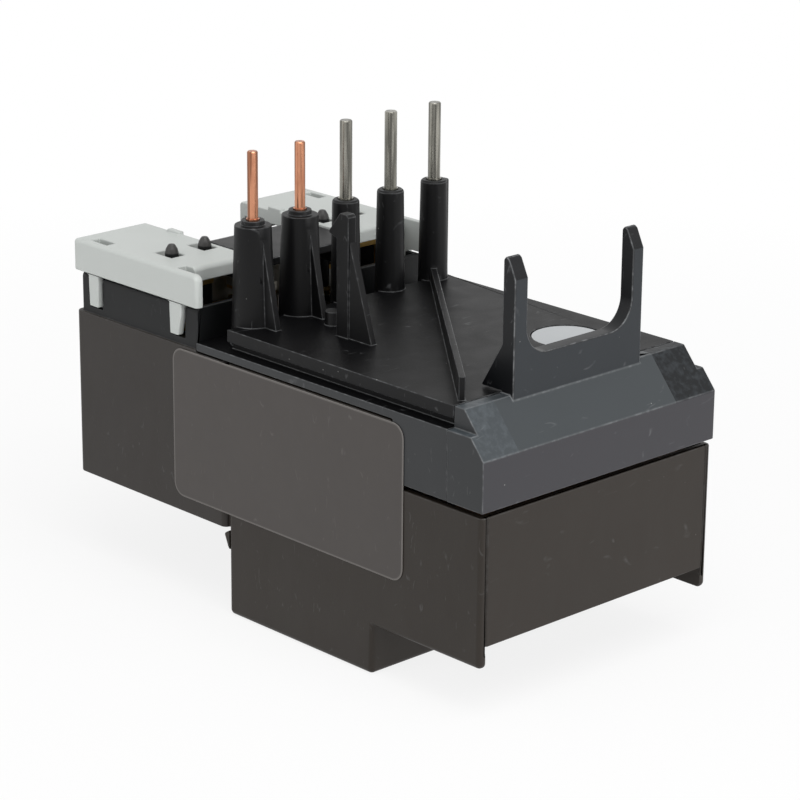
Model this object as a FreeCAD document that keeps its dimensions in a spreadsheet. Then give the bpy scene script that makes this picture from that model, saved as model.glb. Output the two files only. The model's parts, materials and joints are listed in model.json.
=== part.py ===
import FreeCAD, Part
import math
import os
import Sketcher
from FreeCAD import Placement, Rotation, Vector

# Thermal overload relay that plugs under a contactor.
# +X is the relay's right seen from its front, the front faces -Y and the connecting pins point up (+Z).
# The origin is the middle of the footprint at the level of the terminal block's underside. Millimetres.

SIZES = {
    # outer walls
    "side_face": 22.3, "wall": 1.2, "corner": 0.8,
    "base_front": -5.1, "base_rear": 45.3, "block_rear": 24.7,
    "skirt_level": 7.15, "floor_under": 10.15, "side_top": 37.4, "rear_top": 28.25, "step_place": 28.1,
    "seam_width": 0.25, "seam_depth": 0.3,
    # inside and openings of the base
    "mechanism_pass": 27.0, "ear_width": 2.2, "ear_under": 9.65, "ear_low": 12.0, "ear_top": 12.6,
    "ear_reach": 1.0,
    "guide_outer": 18.0, "guide_inner": 15.5, "guide_front": -0.3, "guide_rear": 0.6, "guide_rise": 3.0,
    "room_half": 5.4, "room_rear": 19.5, "driver_hole": 3.1,
    "wire_hole_half": 4.3, "wire_hole_front": 6.9, "wire_hole_rear": 13.2,
    "bar_slot_half": 3.6, "bar_slot_front": 5.3, "bar_slot_rear": 7.1,
    # front housing
    "front_face": -39.2, "front_rear": -5.7, "front_under": 12.78, "shoulder": 37.75,
    "chamber_rear": -11.9, "chamber_floor": 32.0, "chamber_top": 43.75, "chamber_inset": 0.4,
    "centre_gap": 8.95, "chamber_inner": 9.9,
    "control_first": 12.55, "control_pitch": 5.4, "control_depth": -31.5,
    "coil_terminal": 18.2, "auxiliary_terminal": 12.3, "link_plate": 22.6,
    "housing_floor": 14.2, "link_pass": -10.6,
    "entry_half": 2.2, "entry_low": 33.4, "entry_high": 38.2,
    "link_entry_half": 2.4, "link_entry_low": 17.9, "link_entry_high": 22.6,
    "contact_pass_front": -25.5, "contact_pass_rear": -16.5, "contact_pass_under": 37.0,
    "contact_pass_top": 44.0,
    "peg_radius": 1.0, "peg_top": 50.1, "peg_place": -22.7, "peg_pitch": 6.1, "peg_first": 11.4,
    # light covers over the control terminals
    "cover_side": 22.5, "cover_inner": 9.3, "cover_top": 48.55, "cover_plate": 2.15,
    "cover_rear": -14.9, "cover_wall_rear": -11.2, "leg_foot": 39.05,
    "cover_round": 1.0, "cover_edge": 0.6, "cover_throat": 0.7,
    "hook_inner": 19.7, "front_hook_start": -36.5, "front_hook_end": -32.8, "rear_hook_start": -16.9,
    "rear_hook_end": -13.1, "tester_half": 1.25, "tester_front": -25.2, "tester_rear": -21.3,
    "tab_width": 1.0, "tab_front": -32.7, "tab_rear": -29.9, "tab_height": 0.5,
    "front_leg_start": -35.9, "front_leg_end": -33.6, "rear_leg_start": -17.5, "rear_leg_end": -14.8,
    # front bezel
    "bezel_half": 8.8, "bezel_rear": -12.0, "bezel_front": -45.5, "bezel_under": 14.5,
    "bezel_top": 48.45, "bezel_fall": -24.7, "bezel_brow": -39.2, "brow_level": 43.4, "nose_level": 40.5,
    "bezel_chamfer": 2.0, "face_fit": 0.15, "flag_half": 1.6, "flag_front": -33.8, "flag_rear": -30.0,
    # top lid
    "plate_top": 41.81, "plate_half": 21.2, "plate_front": -6.3, "plate_rear": 38.7, "edge_level": 40.0,
    "groove_half": 20.2, "ledge_top": 38.85, "ledge_under": 37.65, "ledge_front": -11.7,
    "panel_under": 28.95, "lid_skin": 1.2,
    # rear cover and fork
    "hook_rear": 45.5, "hook_half": 22.44, "band_top": 36.05, "slope_top_place": 40.65,
    "fork_right": 12.85, "fork_left": -11.6, "prong_right": 2.4, "prong_left": 2.05,
    "fork_rear": 41.2, "fork_thick": 2.2, "prong_tip": 60.2,
    "prong_bevel": 2.8, "fork_bottom": 46.75, "fork_round": 4.0,
    # connecting pins
    "pin_row": -6.3, "pin_pitch": 8.7, "first_pin": 16.3, "link_radius": 0.75, "link_tip": 66.45,
    "wire_growth": 0.2,
    "pin_radius": 0.9, "pin_tip": 68.15, "sleeve_top": 56.05, "sleeve_neck": 56.75,
    "link_sleeve": 2.6, "link_sleeve_base": 3.2, "main_sleeve": 1.95, "main_sleeve_base": 2.2,
    "gusset_top": 55.4, "gusset_foot": -0.4, "gusset_thick": 1.0,
    # latch post and rib of the lid
    "latch_side": 10.3, "latch_thick": 1.5, "latch_front": 5.9, "latch_rear": 8.3, "latch_top": 59.35,
    "latch_nose": 1.5, "nose_under": 55.7, "latch_gusset_foot": 12.7,
    "rib_start_across": -18.5, "rib_start_depth": -6.3, "rib_end_across": 19.1, "rib_end_depth": 38.1,
    "rib_half": 0.45, "rib_low": 1.8, "rib_high": 3.3,
    "boss_across": 8.4, "boss_depth": 1.6, "boss_radius": 1.2, "boss_height": 2.0,
    "lobe_radius": 0.95, "lobe_offset": 1.7, "lobe_height": 0.4,
    "sticker_across": -12.0, "sticker_depth": 27.3, "sticker_radius": 5.0, "sticker_seat": 0.35,
    "sticker_thick": 0.25,
    # label on the side wall
    "label_front": -16.8, "label_rear": 30.7, "label_under": 15.15, "label_top": 37.3, "label_corner": 2.0,
    "label_gap": 0.02, "label_face": 0.14,
    # main terminals
    "pole_pitch": 14.0, "clamp_half": 4.6, "clamp_under": 2.2, "clamp_top": 9.2, "clamp_level": 5.6,
    "clamp_front": 3.8, "clamp_wall": 1.4, "clamp_rear": 12.8, "bar_front": 5.6, "bar_thick": 1.2,
    "screw_radius": 1.75, "screw_head": 2.8,
    # bimetals and heaters
    "strip_thick": 0.8, "strip_under": 18.0, "strip_top": 24.0, "strip_rear": 38.0, "strip_front": -3.6,
    "upright_rear": 39.2, "turn_gap": 0.7, "ribbon": 0.7, "ribbon_width": 1.6, "turn_pitch": 3.0,
    # mechanism
    "slide_travel": 1.2, "dial_level": 24.0, "dial_radius": 5.5, "shaft_radius": 1.5,
    "cam_least": 2.4, "cam_rise": 1.4, "frame_front": -28.0, "frame_thick": 1.2,
    "plate_start": -33.5,
    "button_place": 4.4, "button_level": 35.5, "button_radius": 2.6, "rocker_level": 42.0,
    "lever_across": -1.0, "lever_depth": -8.5, "lever_pin": 0.8, "rocker_pin": 1.0,
    "running_gap": 0.05,
}

document = FreeCAD.newDocument("overload_relay")
sheet = document.addObject("Spreadsheet::Sheet", "Sizes")
for row, (alias, number) in enumerate(SIZES.items(), start=1):
    sheet.set("A" + str(row), alias)
    sheet.set("B" + str(row), repr(number))
    sheet.setAlias("B" + str(row), alias)
document.recompute()


class Size:
    """A length that keeps its number together with the sheet formula that gives it."""

    def __init__(self, value, formula=None):
        self.value = float(value)
        self.formula = formula or "(" + repr(round(float(value), 5)) + ")"
        self.bound = formula is not None

    def join(self, other, sign, value):
        result = Size(value, "(" + self.formula + " " + sign + " " + other.formula + ")")
        result.bound = self.bound or other.bound
        return result

    def __add__(self, other):
        other = as_size(other)
        return self.join(other, "+", self.value + other.value)

    def __sub__(self, other):
        other = as_size(other)
        return self.join(other, "-", self.value - other.value)

    def __mul__(self, other):
        other = as_size(other)
        return self.join(other, "*", self.value * other.value)

    def __radd__(self, other):
        return as_size(other) + self

    def __rsub__(self, other):
        return as_size(other) - self

    def __rmul__(self, other):
        return as_size(other) * self

    def __neg__(self):
        return as_size(-1) * self


def as_size(number):
    return number if isinstance(number, Size) else Size(number)


def span(one, other):
    """Puts two lengths in rising order."""
    one, other = as_size(one), as_size(other)
    return (one, other) if one.value <= other.value else (other, one)


class Sheet:
    """Reads the sheet's named cells as Size values."""

    def __getattr__(self, alias):
        return Size(SIZES[alias], "Sizes." + alias)


size = Sheet()
NODES = []


def bind(thing, prop, length):
    length = as_size(length)
    if length.bound:
        thing.setExpression(prop, length.formula)
    return length.value


def keep(thing, name):
    """Names an object as one finished sub-part."""
    thing.Label = name
    NODES.append(thing)
    return thing


# ---- part design helpers -------------------------------------------------------------------------

PLANES = {"XY": ("XY_Plane", 1), "XZ": ("XZ_Plane", -1), "YZ": ("YZ_Plane", 1)}


def new_body(name):
    return document.addObject("PartDesign::Body", name + "_body")


def origin_feature(body, role):
    return next(item for item in body.Origin.OriginFeatures if item.Role == role)


def new_sketch(body, plane, height):
    """An empty sketch on an origin plane, moved along that plane's axis to the given height."""
    role, sense = PLANES[plane]
    drawing = body.newObject("Sketcher::SketchObject", body.Name + "_sketch")
    drawing.AttachmentSupport = (origin_feature(body, role), [""])
    drawing.MapMode = "FlatFace"
    shift = sense * as_size(height)
    drawing.AttachmentOffset = Placement(Vector(0, 0, shift.value), Rotation())
    bind(drawing, ".AttachmentOffset.Base.z", shift)
    return drawing


def fix(drawing, geometry, point, place):
    """Holds one point of a sketch at a place given by the sheet."""
    for direction, length in zip(("DistanceX", "DistanceY"), place):
        length = as_size(length)
        rule = Sketcher.Constraint(direction, -1, 1, geometry, point, length.value)
        number = drawing.addConstraint(rule)
        bind(drawing, "Constraints[" + str(number) + "]", length)


def draw_outline(drawing, corners):
    corners = [(as_size(a), as_size(b)) for a, b in corners]
    points = [Vector(a.value, b.value, 0) for a, b in corners]
    first = drawing.GeometryCount
    count = len(points)
    for start, end in zip(points, points[1:] + points[:1]):
        drawing.addGeometry(Part.LineSegment(start, end))
    for index, corner in enumerate(corners):
        after = first + (index + 1) % count
        drawing.addConstraint(Sketcher.Constraint("Coincident", first + index, 2, after, 1))
        fix(drawing, first + index, 1, corner)


def draw_circle(drawing, centre, radius):
    radius = as_size(radius)
    place = Vector(as_size(centre[0]).value, as_size(centre[1]).value, 0)
    number = drawing.addGeometry(Part.Circle(place, Vector(0, 0, 1), radius.value))
    fix(drawing, number, 3, centre)
    rule = drawing.addConstraint(Sketcher.Constraint("Radius", number, radius.value))
    bind(drawing, "Constraints[" + str(rule) + "]", radius)


def extrude(body, plane, outline, low, high, cut=False):
    """Pads or pockets one outline, or a round (centre, radius), between two heights."""
    low, high = as_size(low), as_size(high)
    forward = PLANES[plane][1] > 0
    start = low if forward != cut else high
    drawing = new_sketch(body, plane, start)
    if isinstance(outline, tuple):
        draw_circle(drawing, *outline)
    else:
        draw_outline(drawing, outline)
    kind = "PartDesign::Pocket" if cut else "PartDesign::Pad"
    feature = body.newObject(kind, body.Name + "_step")
    feature.Profile = drawing
    feature.Length = high.value - low.value
    bind(feature, "Length", high - low)
    drawing.Visibility = False
    return feature


def rectangle(a0, a1, b0, b1):
    return [(a0, b0), (a1, b0), (a1, b1), (a0, b1)]


def slab(body, x, y, z, cut=False):
    """A straight block, or a straight pocket, from three (low, high) pairs."""
    return extrude(body, "XY", rectangle(x[0], x[1], y[0], y[1]), z[0], z[1], cut)


def soften(body, radius, chosen):
    """Rounds the edges of the body's tip that the rule picks."""
    document.recompute()
    base = body.Tip
    names = ["Edge" + str(n) for n, edge in enumerate(base.Shape.Edges, start=1) if chosen(edge)]
    if not names:
        raise RuntimeError("no edges to round on " + body.Label)
    feature = body.newObject("PartDesign::Fillet", body.Name + "_round")
    feature.Base = (base, names)
    feature.Radius = bind(feature, "Radius", radius)
    return feature


def along(edge, axis):
    """Whether an edge is a straight run along one axis."""
    if len(edge.Vertexes) != 2:
        return False
    run = edge.Vertexes[1].Point - edge.Vertexes[0].Point
    return run.Length > 1e-6 and abs(abs(run.dot(axis)) - edge.Length) < 1e-6


def middle(edge):
    return edge.BoundBox.Center


def at(place, name, slack=0.1):
    """Whether a coordinate lies on one of the sheet's levels."""
    return abs(place - SIZES[name]) < slack


X, Y, Z = Vector(1, 0, 0), Vector(0, 1, 0), Vector(0, 0, 1)


# ---- primitive helpers ---------------------------------------------------------------------------

def place(thing, x, y, z, turn=None):
    lengths = [as_size(value) for value in (x, y, z)]
    thing.Placement = Placement(Vector(*[item.value for item in lengths]), turn or Rotation())
    for letter, length in zip("xyz", lengths):
        bind(thing, ".Placement.Base." + letter, length)


def block(name, x, y, z):
    box = document.addObject("Part::Box", name + "_box")
    for prop, pair in (("Length", x), ("Width", y), ("Height", z)):
        span = as_size(pair[1]) - as_size(pair[0])
        setattr(box, prop, span.value)
        bind(box, prop, span)
    place(box, x[0], y[0], z[0])
    return box


TURNS = {"X": Rotation(Y, 90), "Y": Rotation(X, -90), "Z": Rotation()}


def rod(name, axis, start, radius, length, tip_radius=None):
    """A cylinder, or a cone where a tip radius is given, that runs along an axis from its start."""
    radius, length = as_size(radius), as_size(length)
    if tip_radius is None:
        item = document.addObject("Part::Cylinder", name + "_rod")
        item.Radius = bind(item, "Radius", radius)
    else:
        item = document.addObject("Part::Cone", name + "_cone")
        item.Radius1 = bind(item, "Radius1", radius)
        item.Radius2 = bind(item, "Radius2", tip_radius)
    item.Height = bind(item, "Height", length)
    place(item, *start, turn=TURNS[axis])
    return item


def join(name, *items):
    union = document.addObject("Part::MultiFuse", name + "_union")
    union.Shapes = list(items)
    return union


def group(name, *items):
    """Separate solids that share one node."""
    bundle = document.addObject("Part::Compound", name + "_group")
    bundle.Links = list(items)
    return bundle


def less(name, base, *tools):
    result = document.addObject("Part::Cut", name + "_cut")
    result.Base = base
    result.Tool = tools[0] if len(tools) == 1 else join(name + "_tools", *tools)
    return result


POLES = (("left", -1), ("middle", 0), ("right", 1))


# ---- housings ------------------------------------------------------------------------------------

def base_bottom_edge(edge):
    """The long edge under the terminal block's front, and the one under the base's rear."""
    centre = middle(edge)
    front = at(centre.y, "base_front") and centre.z < 0.1
    rear = at(centre.y, "base_rear") and at(centre.z, "skirt_level")
    return along(edge, X) and (front or rear)


def base_housing():
    """Open-topped lower shell with the deeper block that holds the three main terminals."""
    body = new_body("base_housing")
    side, wall = size.side_face, size.wall
    front, rear = size.base_front, size.base_rear
    outline = [(front, 0), (size.block_rear, 0), (size.block_rear, size.skirt_level),
               (rear, size.skirt_level), (rear, size.rear_top), (size.step_place, size.rear_top),
               (size.step_place, size.side_top), (front, size.side_top)]
    extrude(body, "YZ", outline, -side, side)
    soften(body, size.corner, lambda edge: along(edge, Z) and not at(middle(edge).y, "step_place", 1))
    soften(body, size.corner, base_bottom_edge)
    floor = size.floor_under + wall
    inside = (-side + wall, side - wall)
    above = size.side_top + 1
    slab(body, inside, (front + wall, rear - wall), (floor, above), cut=True)
    slab(body, inside, (front - 1, front + wall + 1), (size.mechanism_pass, above), cut=True)
    slab(body, inside, (size.block_rear, rear + 1), (size.skirt_level - 1, size.floor_under), cut=True)
    for sign in (-1, 1):
        edge = sign * (side - wall)
        lip = span(edge, edge + sign * size.seam_width)
        seam = (rear - size.seam_depth, rear + 1)
        slab(body, lip, seam, (size.floor_under - 1, size.rear_top + 1), cut=True)
        ear = [(front, size.ear_top), (front - size.ear_reach, size.ear_low), (front, size.ear_under)]
        extrude(body, "YZ", ear, *span(sign * (side - size.ear_width), sign * side))
        guide = span(sign * size.guide_outer, sign * size.guide_inner)
        slab(body, guide, (size.guide_front, size.guide_rear), (floor, floor + size.guide_rise))
    for _, step in POLES:
        terminal_room(body, step * size.pole_pitch, floor)
    return keep(body, "base_housing")


def terminal_room(body, centre, floor):
    """Room for one main terminal: wire opening below, slot for the bar above, screw opening in front."""
    front, wall = size.base_front, size.wall

    def across(half):
        return (centre - half, centre + half)

    slab(body, across(size.room_half), (front + wall, size.room_rear), (wall, size.floor_under), cut=True)
    slab(body, across(size.wire_hole_half), (size.wire_hole_front, size.wire_hole_rear), (-1, wall), cut=True)
    slot = (size.bar_slot_front, size.bar_slot_rear)
    slab(body, across(size.bar_slot_half), slot, (size.floor_under, floor), cut=True)
    extrude(body, "XZ", ((centre, size.clamp_level), size.driver_hole), front - 1, front + wall, cut=True)


def front_housing():
    """Shell in front of the base, with one terminal chamber on each side of the bezel."""
    body = new_body("front_housing")
    side, wall = size.side_face, size.wall
    face, rear, under, crest = size.front_face, size.front_rear, size.front_under, size.chamber_top
    shelf = size.chamber_floor - wall
    inside = (-side + wall, side - wall)
    slab(body, (-side, side), (face, rear), (under, size.shoulder))
    soften(body, 1.0, lambda edge: along(edge, Z))
    outer = side - size.chamber_inset
    slab(body, (-outer, outer), (face + wall, size.chamber_rear), (size.shoulder, crest))
    soften(body, size.corner, lambda edge: along(edge, Y) and at(middle(edge).z, "chamber_top"))
    behind = (size.chamber_rear, rear + 1)
    slab(body, (-side - 1, side + 1), behind, (size.side_top, size.shoulder + 1), cut=True)
    slab(body, inside, (face + wall, rear + 1), (under + wall, shelf), cut=True)
    gap = size.centre_gap
    slab(body, (-gap, gap), (face - 1, rear + 1), (size.housing_floor, crest + 1), cut=True)
    slab(body, inside, (size.link_pass, rear + 1), (shelf - 1, size.side_top + 1), cut=True)
    for sign in (-1, 1):
        terminal_chamber(body, sign, outer)
    for centre in (size.coil_terminal, size.auxiliary_terminal):
        entry = (centre - size.link_entry_half, centre + size.link_entry_half)
        slab(body, entry, (face - 1, face + wall + 1), (size.link_entry_low, size.link_entry_high), cut=True)
    return keep(body, "front_housing")


def terminal_chamber(body, sign, outer):
    """One open-topped chamber with its wire entries, cover slots and two locating pegs."""
    wall, face, crest = size.wall, size.front_face, size.chamber_top
    behind = size.chamber_rear - 0.9
    room = span(sign * size.chamber_inner, sign * (outer - wall))
    slab(body, room, (face + 2 * wall, behind), (size.chamber_floor, crest + 1), cut=True)
    through = span(sign * (outer - wall - 0.1), sign * (outer + 1.4))
    fit, flare = 0.2, 1.0
    for near, far, way in ((size.front_leg_start - fit, size.front_leg_end + fit, 1),
                           (size.rear_leg_end + fit, size.rear_leg_start - fit, -1)):
        foot = size.leg_foot - 0.3
        lip = far + way * flare
        slot = [(near, foot), (far, foot), (far, crest - 1.1), (far + way * 0.3, crest - 0.4),
                (lip, crest), (lip, crest + 1), (near, crest + 1)]
        extrude(body, "YZ", slot, *through, cut=True)
    inner = span(sign * (size.centre_gap - 0.5), sign * (size.chamber_inner + 0.5))
    contact_pass = (size.contact_pass_front, size.contact_pass_rear)
    slab(body, inner, contact_pass, (size.contact_pass_under, crest + 1), cut=True)
    radius, top = size.peg_radius, size.peg_top
    for step in (0, 1):
        peg = [(0, size.chamber_floor), (radius, size.chamber_floor), (radius, top - 1.3),
               (radius - 0.15, top - 0.7), (0.45, top), (0, top)]
        revolve(body, (sign * (size.peg_first + step * size.peg_pitch), size.peg_place), peg)
        mouth = sign * (size.control_first + step * size.control_pitch)
        entry = (mouth - size.entry_half, mouth + size.entry_half)
        slab(body, entry, (face - 1, face + 2 * wall + 1), (size.entry_low, size.entry_high), cut=True)


def terminal_cover(name, sign):
    """Light snap-on cover over one pair of control terminals, with legs that clip into the side wall."""
    body = new_body(name)

    def sides(inner, outer):
        return span(sign * inner, sign * outer)

    side, inner, top, skin = size.cover_side, size.cover_inner, size.cover_top, size.wall
    face, rear, under = size.front_face, size.cover_wall_rear, size.chamber_top + 0.1
    above, below = top + 1, under - 1

    def top_edge(edge, axis):
        return along(edge, axis) and at(middle(edge).z, "cover_top")

    slab(body, sides(inner, side), (face, rear), (under, top))
    soften(body, size.cover_round, lambda edge: top_edge(edge, X) and at(middle(edge).y, "cover_wall_rear"))
    soften(body, size.cover_edge, lambda edge: top_edge(edge, Y) and at(abs(middle(edge).x), "cover_side"))
    soften(body, size.cover_edge, lambda edge: top_edge(edge, X) and at(middle(edge).y, "front_face"))
    within = sides(inner - 1, side - skin)
    slab(body, within, (face + skin, rear + 1), (below, top - size.cover_plate), cut=True)
    slab(body, within, (size.cover_rear, rear + 1), (below, above), cut=True)
    soften(body, size.cover_throat, lambda edge: top_edge(edge, X) and at(middle(edge).y, "cover_rear"))
    for start, end, taper in ((size.front_leg_start, size.front_leg_end, 0.15),
                              (size.rear_leg_start, size.rear_leg_end, 0.8)):
        shin, hip = under - 1.2, under + 0.3
        leg = [(start + 0.15, size.leg_foot), (end - taper, size.leg_foot), (end, shin), (end, hip),
               (start, hip), (start, shin)]
        extrude(body, "YZ", leg, *sides(side - skin, side - 0.1))
    for start, end in ((size.front_hook_start, size.front_hook_end),
                       (size.rear_hook_start, size.rear_hook_end)):
        slab(body, sides(size.hook_inner, side - skin), (start, end), (below, above), cut=True)
    for step in (0, 1):
        centre = size.peg_first + step * size.peg_pitch
        hole = sides(centre - size.tester_half, centre + size.tester_half)
        slab(body, hole, (size.tester_front, size.tester_rear), (below, above), cut=True)
    tab = sides(inner, inner + size.tab_width)
    slab(body, tab, (size.tab_front, size.tab_rear), (top, top + size.tab_height))
    return keep(body, name)


def front_bezel():
    """Raised centre part of the front that carries the dial and the buttons; open at the back."""
    body = new_body("front_bezel")
    half, wall = size.bezel_half, size.wall
    rear, nose, under, top = size.bezel_rear, size.bezel_front, size.bezel_under, size.bezel_top
    chamfer = size.bezel_chamfer
    outline = [(rear, under), (nose + chamfer, under), (nose, under + chamfer), (nose, size.nose_level),
               (size.bezel_brow, size.brow_level), (size.bezel_fall, top), (rear, top)]
    extrude(body, "YZ", outline, -half, half)
    soften(body, size.corner, lambda edge: along(edge, Z) and at(middle(edge).y, "bezel_front"))
    low, high = under + wall, top - wall
    hollow = [(rear + 1, low), (nose + chamfer + 0.4, low), (nose + wall, under + chamfer + 0.4),
              (nose + wall, size.nose_level - 0.8), (size.bezel_brow, size.brow_level - 1.3),
              (size.bezel_fall, high), (rear + 1, high)]
    extrude(body, "YZ", hollow, -half + wall, half - wall, cut=True)
    front = (nose - 1, nose + wall + 0.1)
    extrude(body, "XZ", ((0, size.dial_level), size.dial_radius + size.face_fit), *front, cut=True)
    for sign in (-1, 1):
        centre = (sign * size.button_place, size.button_level)
        extrude(body, "XZ", (centre, size.button_radius + size.face_fit), *front, cut=True)
        outer = span(sign * (half - wall - 0.5), sign * (half + 0.5))
        contact_pass = (size.contact_pass_front, size.contact_pass_rear)
        slab(body, outer, contact_pass, (size.contact_pass_under, size.contact_pass_top), cut=True)
    flag = (-size.flag_half, size.flag_half)
    slab(body, flag, (size.flag_front, size.flag_rear), (size.brow_level - 2, top + 1), cut=True)
    return keep(body, "front_bezel")


# ---- lid and rear cover --------------------------------------------------------------------------

def revolve(body, centre, profile):
    """Turns a half outline (radius, height) round an upright axis at (x, y)."""
    drawing = body.newObject("Sketcher::SketchObject", body.Name + "_sketch")
    drawing.AttachmentSupport = (origin_feature(body, "XZ_Plane"), [""])
    drawing.MapMode = "FlatFace"
    across, depth = as_size(centre[0]), -as_size(centre[1])
    drawing.AttachmentOffset = Placement(Vector(across.value, 0, depth.value), Rotation())
    bind(drawing, ".AttachmentOffset.Base.x", across)
    bind(drawing, ".AttachmentOffset.Base.z", depth)
    draw_outline(drawing, profile)
    feature = body.newObject("PartDesign::Revolution", body.Name + "_turn")
    feature.Profile = drawing
    feature.ReferenceAxis = (drawing, ["V_Axis"])
    feature.Angle = 360
    drawing.Visibility = False
    return feature


def repeat(body, features, count, length, axis="X_Axis", backwards=True):
    """Repeats features at an even pitch along one axis."""
    document.recompute()
    pattern = body.newObject("PartDesign::LinearPattern", body.Name + "_row")
    pattern.Originals = features
    pattern.Direction = (origin_feature(body, axis), [""])
    pattern.Reversed = backwards
    pattern.Length = bind(pattern, "Length", length)
    pattern.Occurrences = count
    body.Tip = pattern
    document.recompute()
    return pattern


def gusset(body, centre, foot_front, foot_rear, top, level, thick):
    """Triangular web behind a post: upright on its front side, sloping down to its rear foot."""
    outline = [(foot_front, level), (foot_rear, level), (foot_rear, level + 0.3), (foot_front, top)]
    return extrude(body, "YZ", outline, centre - thick * 0.5, centre + thick * 0.5)


def lid_plate(body):
    """Raised plate over two ledges, with the panels that close the sides behind the base's step."""
    side, skin, inner = size.side_face, size.lid_skin, size.groove_half
    under, rear, top = size.panel_under, size.plate_rear, size.plate_top
    slab(body, (-side, side), (size.ledge_front, rear), (size.ledge_under, size.ledge_top))
    slab(body, (-side, side), (size.step_place + 0.3, rear), (under, size.ledge_under + 0.1))
    slab(body, (-inner, inner), (size.plate_front, rear), (size.ledge_top, size.edge_level))
    slab(body, (-size.plate_half, size.plate_half), (size.plate_front, rear), (size.edge_level, top))
    panels = (-side + skin, side - skin)
    slab(body, panels, (size.step_place - 1, rear + 1), (under - 1, size.ledge_under), cut=True)
    hollow = (-inner + skin, inner - skin)
    slab(body, hollow, (size.pin_row + 3.4, rear + 1), (under - 1, top - skin), cut=True)


def lid_rib(body):
    """Thin rib across the plate from corner to corner, rising towards the rear."""
    start = (SIZES["rib_start_across"], SIZES["rib_start_depth"])
    end = (SIZES["rib_end_across"], SIZES["rib_end_depth"])
    run = math.hypot(end[0] - start[0], end[1] - start[1])
    half = SIZES["rib_half"]
    aside = (half * (end[1] - start[1]) / run, -half * (end[0] - start[0]) / run)
    outline = [(start[0] + aside[0], start[1] + aside[1]), (start[0] - aside[0], start[1] - aside[1]),
               (end[0] - aside[0], end[1] - aside[1]), (end[0] + aside[0], end[1] + aside[1])]
    top, low, high = size.plate_top, size.rib_low, size.rib_high
    extrude(body, "XY", outline, top - 0.1, top + high)
    before, behind = start[1] - 1, end[1] + 1
    wedge = [(before, top + low), (behind, top + high), (behind, top + high + 1), (before, top + high + 1)]
    extrude(body, "YZ", wedge, -size.plate_half, size.plate_half, cut=True)


def lid_sleeves(body):
    """Two webbed sleeves for the link pins, three slimmer ones for the main pins, all bored through."""
    pitch, row, first = size.pin_pitch, size.pin_row, size.first_pin
    level = size.ledge_under - 1.5
    wide, neck, top = size.link_sleeve, size.sleeve_neck, size.sleeve_top
    throat = 1.65
    profile = [(0, level), (size.link_sleeve_base, level), (size.link_sleeve_base, size.ledge_top),
               (wide, top), (throat, top), (throat, neck), (0, neck)]
    sleeve = revolve(body, (first, row), profile)
    web_front = row + wide - 0.3
    web = gusset(body, first, web_front, size.gusset_foot, size.gusset_top, size.ledge_top, size.gusset_thick)
    repeat(body, [sleeve, web], 2, pitch)
    third = first - 2 * pitch
    slim = size.main_sleeve
    profile = [(0, level), (size.main_sleeve_base + 0.3, level), (size.main_sleeve_base, size.plate_top),
               (slim, neck - 0.3), (slim - 0.3, neck), (0, neck)]
    sleeve = revolve(body, (third, row), profile)
    repeat(body, [sleeve], 3, 2 * pitch)
    lobe = ((third - 2 * pitch - size.lobe_offset, row), size.lobe_radius)
    extrude(body, "XY", lobe, size.plate_top - 0.1, top + size.lobe_height)
    for number in range(5):
        wire = size.link_radius if number < 2 else size.pin_radius
        bore = wire + size.wire_growth + size.running_gap
        extrude(body, "XY", ((first - number * pitch, row), bore), level - 1, neck + 1, cut=True)


def lid_latch(body):
    """Latch post with its forward nose and its web."""
    front, rear, top = size.latch_front, size.latch_rear, size.latch_top
    level, thick = size.plate_top, size.latch_thick
    tip = front - size.latch_nose
    post = [(front, level), (rear, level), (rear, top - 0.4), (rear - 0.4, top), (front + 0.7, top),
            (tip, size.nose_under + 0.9), (tip, size.nose_under + 0.5), (front, size.nose_under)]
    extrude(body, "YZ", post, size.latch_side, size.latch_side + thick)
    centre = size.latch_side + thick * 0.5
    gusset(body, centre, rear - 0.5, size.latch_gusset_foot, top - 2.4, level, size.gusset_thick)


def top_lid():
    """Lid with the five pin sleeves, the latch post and the slanting rib moulded on it."""
    body = new_body("top_lid")
    lid_plate(body)
    lid_rib(body)
    lid_sleeves(body)
    lid_latch(body)
    top = size.plate_top
    boss = ((size.boss_across, size.boss_depth), size.boss_radius)
    extrude(body, "XY", boss, top - 0.1, top + size.boss_height)
    seat = ((size.sticker_across, size.sticker_depth), size.sticker_radius + 0.2)
    extrude(body, "XY", seat, top - size.sticker_seat, top + 3, cut=True)
    return keep(body, "top_lid")


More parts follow.
